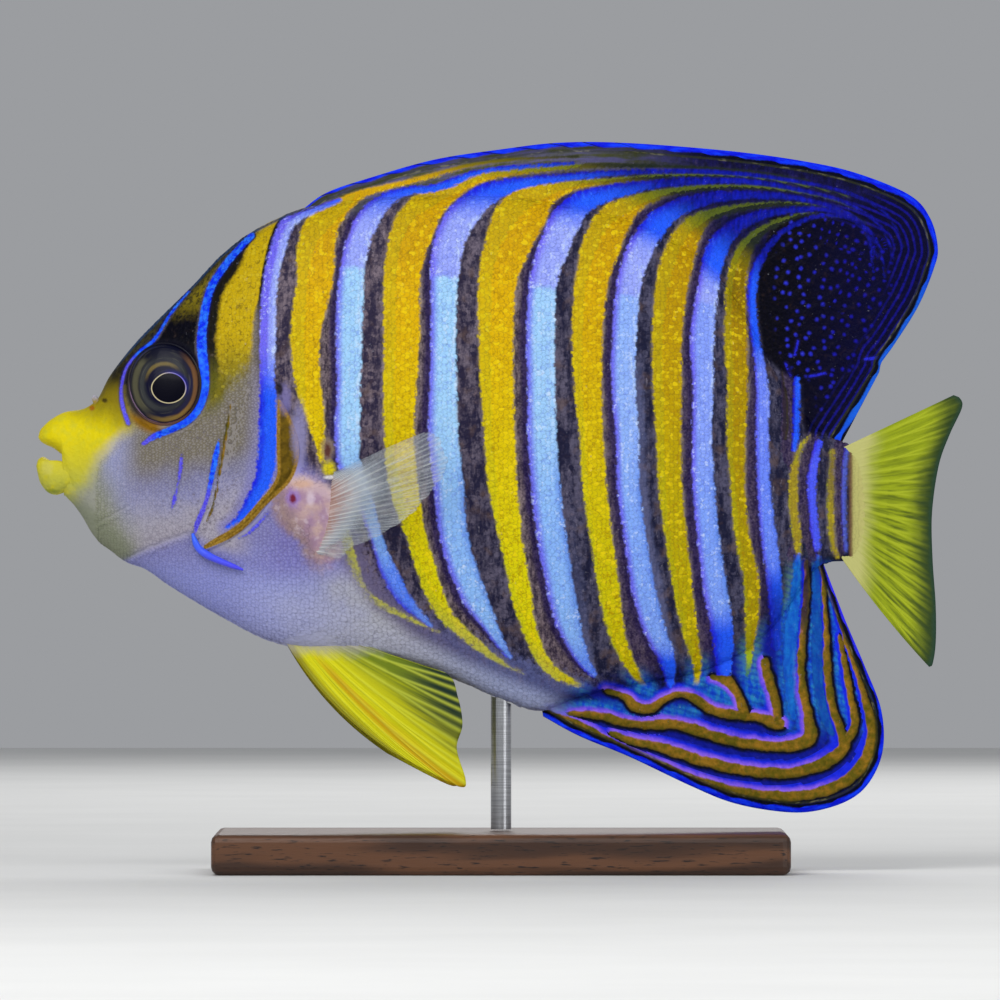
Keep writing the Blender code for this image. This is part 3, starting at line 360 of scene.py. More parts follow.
def markings(x, z):
    """Every marking as a distance or a weight, for arrays of lengths and heights in millimetres."""
    yellow, yellow_side, _ = nearest(YELLOW_BARS, x, z)
    blue, across, _ = nearest(BLUE_BARS, x, z)
    brown, brown_side, _ = nearest(BROWN_LINES, x, z)
    hind, front = stroke(BLUE_LINES[0], x, z, 20.0), stroke(BLUE_LINES[1], x, z, 20.0)
    first = stroke(BLUE_BARS[0], x, z)
    nape = np.where((front[1] > 0) & (hind[1] < 0) & (z > 95.0), 1.0, 0.0)
    nape = nape * step(-0.2, 0.5, np.minimum(front[0], hind[0]))
    temple = np.where((hind[1] >= 0) & (first[1] <= 0) & (x > -61.0) & (x < -42.0) & (z > 84.0), 1.0, 0.0)
    slope = z - 0.9 * (x + 57.0)
    shade = step(90, 98, z) * step(123, 117, z)
    clear = 1.0 + 1.5 * step(113, 106, z)
    gold = temple * step(-0.2 + 0.7 * shade, 0.8 + 2.6 * shade, hind[0]) * step(0.1 * clear, clear, first[0])
    brow = np.where(front[1] < 0, 1.0, 0.0) * step(92.5, 97, z) * step(-56, -60, x)
    belly = stroke(BELLY_EDGE, x, z, FAR, 1)
    snout = stroke(SNOUT_EDGE, x, z, FAR, 1)
    return {
        "yellow": yellow,
        "yellow_side": np.clip(yellow_side, -3.0, 3.0),
        "blue": blue,
        "across": np.clip(across, -2.5, 2.0),
        "line": nearest(BLUE_LINES, x, z)[0],
        "brown": brown,
        "inner": np.clip(-brown_side, -1.0, 1.0),
        "membrane": stroke(MEMBRANE, x, z)[0],
        "nape": nape,
        "gold": gold * step(83, 99, slope),
        "brow": brow,
        "temple": temple * np.maximum(step(4, 2.2, hind[0]) * step(87, 94, z), step(107, 113, z)),
        "belly": np.sign(belly[1]) * belly[0],
        "snout": np.sign(-snout[1]) * snout[0],
        "eye_gap": ellipse(x, z, EYE_X, EYE_Z, EYE_RX, EYE_RZ),
    }


print(len(YELLOW_BARS), "yellow bars,", len(BLUE_BARS), "blue bars,", len(BROWN_LINES), "brown lines")

# %% [markdown]
# ## Meshes and stored values
# Every piece is a grid of points. The fish material never looks at an image: it reads the values that
# are stored here on the points, and blends between neighbouring points for free.

# %% Mesh helpers
def surface(name, points_mm, faces, smooth=True, turn=True):
    """Mesh object from points in millimetres and one list or array of faces, which are turned outward."""
    mesh = bpy.data.meshes.new(name)
    faces = faces.tolist() if hasattr(faces, "tolist") else faces
    mesh.from_pydata((np.asarray(points_mm).reshape(-1, 3) * MM).tolist(), [], faces)
    mesh.validate()
    if turn:
        shell = bmesh.new()
        shell.from_mesh(mesh)
        bmesh.ops.recalc_face_normals(shell, faces=shell.faces)
        shell.to_mesh(mesh)
        shell.free()
    mesh.polygons.foreach_set("use_smooth", np.full(len(mesh.polygons), smooth))
    mesh.update()
    ob = bpy.data.objects.new(name, mesh)
    bpy.context.scene.collection.objects.link(ob)
    return ob


def grid_faces(nu, nv, close_u=False, close_v=False, start=0, flip=False):
    """Quads of a grid stored row by row; it may close into a ring in either direction."""
    i = np.arange(nu if close_u else nu - 1)[:, None]
    j = np.arange(nv if close_v else nv - 1)
    row, next_row, after = i * nv, (i + 1) % nu * nv, (j + 1) % nv
    quads = np.stack([row + j, next_row + j, next_row + after, row + after], axis=-1).reshape(-1, 4) + start
    return quads[:, ::-1] if flip else quads


def ring_seam(count, around):
    """Quads that join the last point of each ring to its first."""
    return np.arange(count - 1)[:, None] * around + [around - 1, 2 * around - 1, around, 0]


def fan(centre, ring):
    """Triangles from a centre point to each step of a closed ring of points."""
    return np.column_stack([np.full(len(ring), centre), np.roll(ring, -1), ring])


def circle(count):
    """Angles in equal steps once round."""
    return np.linspace(0.0, 2.0 * math.pi, count, endpoint=False)


SIDES = ((-1, "left"), (1, "right"))


def store(ob, **values):
    """Numbers kept on the points of a mesh, one attribute for each name."""
    for name, value in values.items():
        layer = ob.data.attributes.new(name, "FLOAT", "POINT")
        layer.data.foreach_set("value", np.asarray(value, dtype=np.float32).ravel())


def dress(ob, finish, slot=None, stands_for=()):
    """Material, body and CAD nodes of a finished piece."""
    ob.data.materials.clear()
    ob.data.materials.append(finish)
    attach(ob, "root")
    if stands_for:
        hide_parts(*stands_for)
    print(ob.name, len(ob.data.vertices), "points")


print("mesh helpers ready")

# %% [markdown]
# ## Shader maths as Python
# Node trees are long to write out link by link. A small class wraps a node's output, so that
# `1 - mask * 0.5` adds the Math nodes by itself. Colours go through Mix nodes, because a Math node would
# turn them grey.

# %% The wire and finish classes
# the Mix node repeats its sockets' names for each kind of data, so its colour sockets go by number
MIX_SHARE, MIX_A, MIX_B, MIX_RESULT = 0, 6, 7, 2


class Wire:
    """An output socket; each operator adds the Math node that works it out."""

    def __init__(self, finish, socket):
        self.finish, self.socket = finish, socket

    def math(self, operation, *others):
        """Math node with this output as its first input."""
        return self.finish.maths(operation, self, *others)

    def __add__(self, other):
        return self.math("ADD", other)

    def __sub__(self, other):
        return self.math("SUBTRACT", other)

    def __rsub__(self, other):
        return self.finish.maths("SUBTRACT", other, self)

    def __mul__(self, other):
        return self.math("MULTIPLY", other)

    def __truediv__(self, other):
        return self.math("DIVIDE", other)

    __radd__, __rmul__ = __add__, __mul__


class Finish:
    """A material under construction, with short calls for the nodes it uses."""

    def __init__(self, name, **constants):
        self.material = bpy.data.materials.new(name)
        self.material.use_nodes = True
        self.tree = self.material.node_tree
        self.shader = self.tree.nodes["Principled BSDF"]
        for key, value in constants.items():
            self.shader.inputs[key.replace("_", " ")].default_value = value
        place = self.node("ShaderNodeTexCoord", {}, {}, "Object")
        self.place = self.node("ShaderNodeVectorMath", {"operation": "SCALE"}, {0: place, "Scale": 1.0 / MM})
        self.x, self.y, self.z = (self.node("ShaderNodeSeparateXYZ", {}, {0: self.place}, axis)
                                  for axis in "XYZ")

    def node(self, kind, settings, inputs, output=0):
        """One node: its settings first, then the values or links of its sockets; returns an output."""
        made = self.tree.nodes.new(kind)
        for key, value in settings.items():
            setattr(made, key, value)
        for key, value in inputs.items():
            if isinstance(value, Wire):
                self.tree.links.new(value.socket, made.inputs[key])
            else:
                made.inputs[key].default_value = value
        return Wire(self, made.outputs[output])

    def maths(self, operation, *values):
        """Math node; each value is an output or a number."""
        return self.node("ShaderNodeMath", {"operation": operation}, dict(enumerate(values)))

    def at(self, a, b, c=0.0):
        """A place made of three numbers, for a pattern that follows the piece."""
        return self.node("ShaderNodeCombineXYZ", {}, {0: a, 1: b, 2: c})

    def stretched(self, *scale):
        """The place scaled in each direction, so that a pattern that reads it is stretched."""
        return self.node("ShaderNodeMapping", {}, {"Vector": self.place, "Scale": scale})

    def read(self, name):
        """A value stored on the points."""
        return self.node("ShaderNodeAttribute", {"attribute_name": name}, {}, "Fac")

    def ramp(self, value, low, high, to_low=0.0, to_high=1.0):
        """Smooth step from one value to another while the input goes from low to high."""
        return self.node("ShaderNodeMapRange", {"interpolation_type": "SMOOTHSTEP"},
                         {0: value, 1: low, 2: high, 3: to_low, 4: to_high})

    def inside(self, value, soft):
        """1 where a signed distance is below zero and 0 where it is above, with a soft edge."""
        return self.ramp(value, -soft, soft, 1.0, 0.0)

    def noise(self, size, detail=2.0, where=None, roughness=0.5):
        """Noise around zero whose grains are about size millimetres wide."""
        return self.node("ShaderNodeTexNoise", {},
                         {"Vector": where or self.place, "Scale": 1.0 / size, "Detail": detail,
                          "Roughness": roughness}, "Fac") - 0.5

    def blend(self, share, a, b):
        """Colour a where share is 0, colour b where it is 1; a tuple is a display colour, 0 to 255."""
        a, b = (tint(*colour) if isinstance(colour, tuple) else colour for colour in (a, b))
        return self.node("ShaderNodeMix", {"data_type": "RGBA"}, {MIX_SHARE: share, MIX_A: a, MIX_B: b}, MIX_RESULT)

    def lay(self, colour, *layers):
        """Layers of (share, colour) laid over a first colour one after another."""
        for share, layer in layers:
            colour = self.blend(share, colour, layer)
        return colour

    def bump(self, height, depth_mm, strength=1.0, before=None):
        """Bump node for a height field."""
        inputs = {"Height": height, "Distance": depth_mm * MM, "Strength": strength}
        if before is not None:
            inputs["Normal"] = before
        return self.node("ShaderNodeBump", {}, inputs, "Normal")

    def done(self, **links):
        """Connect the varying inputs of the shader."""
        for key, wire in links.items():
            self.tree.links.new(wire.socket, self.shader.inputs[key.replace("_", " ")])
        return self.material


def tint(red, green, blue):
    """Display colour with parts from 0 to 255, as the linear colour a shader wants."""
    parts = np.array([red, green, blue]) / 255.0
    return (*np.where(parts <= 0.04045, parts / 12.92, ((parts + 0.055) / 1.055) ** 2.4).tolist(), 1.0)


print("shader classes ready")

# %% [markdown]
# ## The skin's colours
# One finish serves body, scales, gill covers, dorsal and anal fin, so that no marking breaks where two
# pieces meet. It starts from the dark ground between the bars and lays the zones, bars and lines over it
# in the order in which they cover each other on the fish: belly and cheek, snout, yellow, blue, brown.
# Each scale has a tone of its own, which shifts the edge of a bar a little forward or back, and knows its
# rim from its centre: the rim gets painted shade, and on belly and cheek the centre a painted highlight.

# %% Grounds of the fish skin
def body_ground(f):
    """Dark violet-brown between the bars, darker behind and below, and the pale lilac belly with painted light at the
    throat's lower edge and painted highlights on its scales.
    """
    light = f.ramp(f.x, 30, -32) * f.ramp(f.z, 62, 92, 0.45, 1)
    cloud = f.noise(1.8, 4, f.streak_place, 0.65)
    veins = f.ramp(cloud + f.fine * 0.22 + f.tone * 0.14, -0.12, 0.22)
    mottled = f.lay(
        f.blend(veins, f.blend(light, (24, 26, 52), (44, 38, 62)), f.blend(light, (82, 80, 104), (126, 112, 122))),
        (f.ramp(f.noise(3.1, 2), 0.04, 0.24) * 0.5, (98, 78, 70)),
        (f.ramp(f.streak - f.grain * 0.3, 0.16, 0.3) * 0.35, (150, 142, 158)))
    by_blue = f.blend(f.ramp(f.fine + f.tone * 0.3, -0.25, 0.35), (28, 18, 62), (62, 50, 92))
    by_yellow = f.blend(f.ramp(f.streak + f.fine * 0.6, -0.2, 0.25), (54, 44, 58), (130, 114, 118))
    by_yellow = f.blend(f.ramp(f.x, 0, 34) * 0.75, by_yellow, by_blue)
    narrow = f.blend(f.ramp(f.across + f.grain * 0.3, -1.75, -1.25), by_yellow, by_blue)
    ground = f.blend(f.ramp(f.across, -1.12, -0.75), narrow, mottled)
    mist = f.ramp(f.across + f.grain * 0.6 + f.streak * 0.6, 1.95, 1.3) * f.ramp(f.across, 0.6, 0.9)
    mist = mist * f.ramp(f.z, 104, 92) * f.ramp(f.x, 12, 18) * f.ramp(f.x, 36, 31)
    dust = f.read("haze") * 1.5 - 0.5 + f.fine * 1.1 + f.grain * 0.9 + f.tone * 0.3
    hazy = f.blend(f.ramp(f.x + f.grain * 6, -28, 4), (112, 104, 140), (96, 104, 158))
    hazy = f.blend(f.ramp(f.fine + f.streak, -0.1, 0.3) * 0.5, hazy, (62, 60, 112))
    navy = f.blend(f.ramp(f.grain + f.streak, -0.4, 0.5), (4, 5, 34), (10, 12, 84))
    ground = f.lay(
        ground,
        (mist * 0.5, (104, 110, 154)),
        (f.ramp(dust, -0.1, 0.8) * 0.8, hazy),
        (f.read("dusk"), navy))
    belly = f.lay(
        f.blend(f.ramp(f.x + f.broad * 14, -48, -22), (142, 148, 216), (178, 178, 182)),
        (f.ramp(f.x, -20, 2), (138, 158, 206)),
        (f.ramp(f.z + f.broad * 4, 55, 66) * 0.7, (122, 116, 160)),
        (f.ramp(f.x + f.broad * 8, -50, -40) * f.ramp(f.z, 55, 61) * 0.4, (108, 94, 190)),
        # painted light: paler towards the lower edge of the throat, against the form shadow under it
        (f.ramp(f.z + f.x * 0.33 + f.broad * 3, 45, 37) * f.ramp(f.x, -58, -40) * 0.5, (188, 192, 226)),
        # painted highlight: each scale's raised centre is paler
        (f.ramp(f.rim_of_scale, 0.5, 0.1) * 0.16, (200, 202, 226)),
        (f.ramp(f.fine + f.tone * 0.3, 0.16, 0.34) * 0.3, (102, 96, 140)))
    return f.blend(f.read("belly"), ground, belly)


def head_ground(f, ground):
    """Cheek, temple, nape, snout and the warm corner under the eye, laid over the body's ground; the cheek's scales
    carry painted highlights.
    """
    soft = f.z + f.broad * 5
    halo = f.ramp(f.read("blue"), 0.2, 2.4, 1, 0) * f.ramp(f.z, 86, 76) * f.ramp(f.x, -44.5, -46)
    freckle = f.ramp(f.fine * 1.6 + f.tone * 0.6, 0.1, 0.34) * f.ramp(f.rim_of_scale, 0.35, 0.8, 1, 0.3)
    freckle = freckle * f.ramp(f.read("head"), 0.5, 1)
    cheek = f.lay(
        f.blend(f.ramp(soft, 64, 78), (166, 163, 174), (128, 131, 186)),
        (f.ramp(soft - f.x * 0.5, 96, 106, 1, 0), (164, 158, 172)),
        (f.ramp(soft - f.x * 0.16, 82, 92), (120, 113, 98)),
        (f.ramp(f.x, -76, -69, 1, 0) * f.ramp(soft, 64, 78), (150, 154, 196)),
        (f.ramp(f.x + soft * 0.4, -42, -50), (140, 143, 122)),
        # painted highlight: each scale's raised centre is paler
        (f.ramp(f.rim_of_scale, 0.6, 0.2) * 0.22, (186, 182, 192)),
        (halo * 0.55, (108, 106, 196)),
        (freckle * f.ramp(f.x, -74, -58, 0.2, 0.55), (88, 80, 92)))
    below = f.z + f.x * 0.9 + f.broad * 3
    chin = f.ramp(below, 1.5, -3.5) * f.ramp(f.x, -69, -73) * f.ramp(f.z - f.x * 0.41 + f.fine, 90.4, 91.6)
    umber = f.blend(f.ramp(f.z + f.broad * 3, 95, 103), (100, 96, 26), (22, 20, 14))
    gold = f.lay(
        f.blend(f.ramp(f.z + f.broad * 4, 94, 106), (124, 114, 26), (196, 166, 6)),
        (f.ramp(f.fine + f.grain * 0.5 + f.tone * 0.4, 0.06, 0.34) * 0.6, (96, 80, 10)),
        (f.ramp(f.tone + f.fine, -0.28, -0.5) * 0.3, (214, 196, 50)))
    gold_share = f.ramp(f.read("gold") + f.grain * 0.5 + f.fine * 0.3, 0.2, 0.75)
    ground = f.lay(
        ground,
        (f.read("head"), cheek),
        (chin * 0.7, (124, 130, 106)),
        (f.read("temple"), umber),
        (gold_share, gold))
    umber = f.blend(f.ramp(f.fine + f.tone * 0.5, -0.1, 0.3), (124, 110, 18), (64, 58, 20))
    night = f.blend(f.ramp(f.z + f.broad * 3 + f.grain * 3, 106.5, 112), (3, 3, 14), umber)
    lemon = f.lay(
        f.blend(f.ramp(f.z, 72, 86), (176, 178, 74), (222, 204, 10)),
        (f.ramp(f.noise(1.6, 2), -0.1, 0.3), (206, 196, 40)),
        (f.ramp(f.z + f.x * 0.35 + f.broad * 4, 57.5, 66), (132, 116, 18)))
    cheek_gap = f.read("snout") - f.ramp(f.z, 83, 88) * 2.4
    brow = f.blend(f.ramp(f.grain + f.broad, -0.2, 0.3), (16, 18, 18), (66, 62, 18))
    ground = f.lay(
        ground,
        (f.ramp(cheek_gap + f.broad * 3.5 + f.fine, -2.6, 2.6, 1, 0), lemon),
        (f.read("nape"), night),
        (f.read("forehead"), brow),
        (f.read("outline") * 0.8, (16, 62, 112)),
        (f.read("amber"), (146, 104, 14)),
        (f.read("edge_dark"), (16, 16, 30)))
    flesh = f.lay(
        f.blend(f.ramp(f.noise(2.6, 3), -0.16, 0.2), (164, 132, 158), (196, 166, 160)),
        (f.ramp(f.z + f.broad * 5, 73.5, 77) * 0.35, (196, 152, 120)),
        (f.ramp(f.x + f.z * 0.5 + f.grain * 3 + f.broad * 3, -3, -7) * 0.7, (138, 116, 116)),
        # painted highlight: paler along the upper edge of the pectoral fin's fleshy root
        (f.ramp(f.z + f.x * 0.4 + f.grain * 3, 58, 60.5) * 0.4, (226, 204, 204)),
        (f.ramp(f.noise(1.5, 2), 0.06, 0.26) * 0.35, (222, 206, 216)))
    return f.blend(f.ramp(f.read("flesh") + f.grain * 0.7 + f.broad * 0.5, 0.1, 1), ground, flesh)


print("ground colours ready")

# %% Bars, lines and fins of the fish skin
def bar_colours(f, skin, rag):
    """Yellow and blue bars, each with its own gradients, over the ground; the blue bars carry painted highlights."""
    share = f.read("bar_share")
    yellow = f.read("yellow") + rag
    olive = f.read("olive")
    gold = f.lay(
        f.blend(f.ramp(f.z, 52, 118), (218, 208, 4), (220, 174, 0)),
        (f.ramp(f.x, 4, 52) * 0.72, (134, 108, 2)),
        (f.ramp(f.z, 112, 124) * 0.4, (184, 138, 0)),
        (f.ramp(f.x, 42, 44.5) * f.ramp(f.z, 104, 114) * 0.55, (84, 74, 4)),
        (f.ramp(f.grain - f.tone * 0.5, 0.02, 0.34) * 0.6, (242, 214, 14)),
        (f.ramp(f.fine + f.streak * 0.6 + f.tone * 0.3, 0, 0.3) * 0.62, (166, 126, 0)),
        (f.ramp(f.fine + f.streak * 0.8, 0.26, 0.4) * 0.5, (104, 76, 4)),
        (f.read("haze") * f.ramp(f.x, 16, 6) * 0.7, (160, 166, 100)),
        (f.ramp(f.x, 54, 56) * f.ramp(f.z, 56, 60) * 0.55, (152, 138, 50)),
        (f.ramp(f.x, 60, 61.5) * f.ramp(f.z, 70, 75) * 0.5, (96, 84, 60)),
        (f.ramp(olive, 0, 0.55), (112, 102, 10)),
        (f.ramp(olive, 0.45, 1), (30, 38, 30)),
        (f.ramp(f.read("green") + f.maths("MINIMUM", f.across, 1.5) * 0.1, 0, 0.5), (156, 178, 30)),
        (f.ramp(f.read("green"), 0.4, 1), (70, 132, 104)))
    fringe = f.inside(yellow - 0.45, 0.35) * f.ramp(f.streak + f.tone * 0.3, -0.2, 0.3) * (1 - f.read("dusk"))
    skin = f.blend(fringe * f.ramp(f.read("yellow_side"), 0, 1, 0.35, 0.65) * share, skin, (150, 136, 116))
    share = f.ramp(share + f.grain * 0.9 + f.fine * 0.5, 0.15, 0.75)
    skin = f.blend(f.inside(yellow, 0.3) * share, skin, gold)

    blue, deep = f.read("blue") + rag, f.read("deep")
    pale = f.blend(f.ramp(f.x, 2, 40), (160, 208, 248), (134, 160, 249))
    lilac = f.ramp(f.z + f.grain * 1.6 + f.x * 0.1, 114.2, 115.4)
    violet = f.ramp(f.across + f.ramp(f.x, -38, -42) * -0.7, -0.95, -0.3, 0.85, 0)
    pale = f.lay(
        pale,
        (f.maths("MAXIMUM", lilac, f.ramp(f.x, -38, -42)), (152, 166, 248)),
        (f.ramp(f.z + f.broad * 6, 90, 64) * 0.5, (116, 164, 250)),
        (violet, (104, 86, 240)),
        (f.ramp(f.across, 0.4, 1) * f.ramp(f.z, 84, 74) * 0.6, (78, 124, 226)),
        # painted highlights: a whitish line along the upper right edge of the blue bars and fine whitish streaks over
        # them
        (f.ramp(f.across, 0.35, 0.8) * f.ramp(f.z, 78, 92) * f.ramp(f.streak, -0.1, 0.2) * 0.55,
         (206, 228, 250)),
        (f.ramp(f.streak * 0.7 + f.fine * 0.8 - f.tone * 0.3, 0.06, 0.36) * 0.6, (212, 228, 255)),
        (f.ramp(f.fine * -1 + f.tone * 0.4, 0.04, 0.34) * 0.42, (92, 112, 220)),
        (f.read("haze") * 0.55, (70, 92, 214)),
        (f.ramp(f.x, 46.5, 49) * 0.4, (58, 84, 246)))
    vivid = f.blend(f.ramp(f.across + f.streak, -1.1, 0.1), (26, 28, 220), (34, 92, 252))
    vivid = f.blend(f.ramp(f.streak + f.fine * 0.5, 0.05, 0.35) * 0.5, vivid, (70, 130, 255))
    blues = f.lay(
        f.blend(deep, pale, vivid),
        (f.ramp(f.x, 59, 60.5) * f.ramp(f.z, 60, 63) * 0.55,
         f.blend(f.ramp(f.x, 65.5, 66), (78, 66, 240), (82, 70, 128))),
        (f.read("dusk"), f.blend(f.ramp(f.streak, -0.2, 0.25), (2, 3, 112), (12, 16, 176))),
        (f.read("cyan"), f.blend(f.ramp(f.streak, -0.2, 0.2), (14, 84, 196), (24, 116, 206))),
        (f.read("cyan") * f.ramp(f.x, 58.6, 60.2) * 0.45, (6, 28, 120)))
    return f.blend(f.inside(blue, 0.3) * share, skin, blues)


def lobe_colours(f, skin):
    """Rear lobe of the dorsal fin: near black, with blue dots inside and fine blue rings by the margin."""
    mar = f.read("mar")
    flat_place = f.at(f.x * 0.42 - f.z * 0.2 + f.broad * 0.6, f.z * 0.42 + f.x * 0.2)
    arc_place = f.at(f.read("run") * 0.44 + f.broad * 0.3, mar * 0.5)
    spots = [f.node("ShaderNodeTexVoronoi", {"voronoi_dimensions": "2D"},
                    {"Vector": place, "Scale": 1, "Randomness": loose}, "Distance")
             for place, loose in ((flat_place, 0.75), (arc_place, 0.35))]
    in_arcs = f.ramp(mar, 14.6, 15, 1, 0) * f.ramp(f.z, 108, 111)
    cells = spots[0] * (1 - in_arcs) + spots[1] * in_arcs
    dot = f.ramp(cells + f.fine * 0.14 + f.grain * 0.2 + f.broad * 0.12, 0.02, 0.28, 0.86, 0) * f.read("deep_in")
    wave = f.maths("SINE", mar * 4.6 + f.noise(7, 1) * 2.2)
    rings = f.ramp(wave + f.grain * 1.4 + f.fine * 0.8, -0.1, 1.3)
    by_rim = f.ramp(mar + f.broad * 2 - f.ramp(f.z, 104, 126) * 4, 3.6, 6.6, 1, 0)
    share = dot * (1 - by_rim) + rings * by_rim * 0.55
    blue = f.blend(f.ramp(f.x + f.broad * 14, 53, 68), (48, 56, 226), (22, 18, 168))
    night = f.blend(f.ramp(f.x + f.broad * 8, 52, 74), (1, 1, 12), (2, 2, 42))
    inside = f.blend(share, night, blue)
    return f.blend(f.read("lobe"), skin, inside)


def anal_colours(f, skin, rag, blue):
    """Rear belly fin: brown stripes with a lilac glow above and a black line below, blue between."""
    knots = f.noise(2.4, 2)
    stripe, inner = f.read("brown") + f.grain * 0.3 + f.fine * 0.16 + knots * 0.9, f.read("inner")
    above = f.ramp(inner, -0.15, 0.15)
    under = f.blend(f.ramp(stripe, 0.25, 1), (4, 8, 26), (10, 22, 140))
    over_stripe = f.blend(f.ramp(stripe, 1, 2), (22, 40, 226), (8, 16, 100))
    over_stripe = f.blend(f.ramp(f.z, 32, 38) * f.ramp(stripe, 1, 2), over_stripe,
                          f.blend(f.ramp(f.grain + f.streak, -0.2, 0.3), (10, 14, 50), (22, 34, 120)))
    rays = f.maths("SINE", f.z * 4.8 + f.x * 1.7 + f.broad * 5) + f.grain
    sky = f.lay(
        f.blend(f.ramp(f.streak + f.grain, -0.3, 0.35), (12, 66, 204), (40, 136, 190)),
        (f.ramp(f.z + f.grain * 4, 36, 44) * f.ramp(f.x, 54, 50) * 0.7, (84, 130, 110)),
        (f.ramp(f.z, 49, 54) * f.ramp(f.x - f.z * 0.25, 43.4, 42.1) * 0.75, (92, 136, 104)),
        (f.ramp(rays, 0.3, -1) * 0.4, (8, 34, 170)))
    sea = f.blend(above, under, over_stripe)
    sea = f.blend(f.read("pocket") * f.ramp(f.z, 24, 34) * f.ramp(stripe, 0.35, 1), sea, sky)
    bars = f.maths("MAXIMUM", f.inside(blue, 0.3), f.inside(f.read("yellow") + rag, 0.3) * f.ramp(f.z, 36, 38))
    glow = above * f.ramp(stripe, 0.05, 1.15, 1, 0) * f.read("glow") * f.ramp(f.grain + f.broad, -0.4, 0.1, 0.3, 1)
    root = f.read("tail_root") + f.grain * 0.25
    skin = f.lay(
        skin,
        (f.read("anal") * (1 - bars), sea),
        (glow * f.read("anal"), (150, 104, 244)),
        (f.ramp(root, 0, 0.4), (112, 84, 58)),
        (f.ramp(root, 0.3, 0.95), (188, 184, 112)))
    umber = f.lay(
        f.blend(f.ramp(f.grain + f.broad, -0.25, 0.3), (96, 86, 14), (152, 112, 30)),
        (f.ramp(f.fine + f.streak, 0, 0.4) * 0.4, (70, 66, 12)),
        (f.ramp(f.z, 62, 66) * f.ramp(f.x, 30, 50) * 0.7, (58, 50, 36)),
        (f.ramp(f.z + f.grain * 4, 45, 51) * f.ramp(f.x, 61, 59.5) * f.ramp(f.x, 40, 50) * 0.85, (34, 26, 56)),
        (f.ramp(f.maths("ABSOLUTE", stripe + 0.1), 0, 0.4, 0.5, 0) * above * f.read("anal")
         * f.ramp(knots, -0.1, 0.2), (184, 116, 84)),
        (f.ramp(stripe, -0.7, 0) * (1 - above) * 0.6, (58, 54, 12)))
    return f.blend(f.inside(stripe, 0.15), skin, umber)


print("bar colours ready")

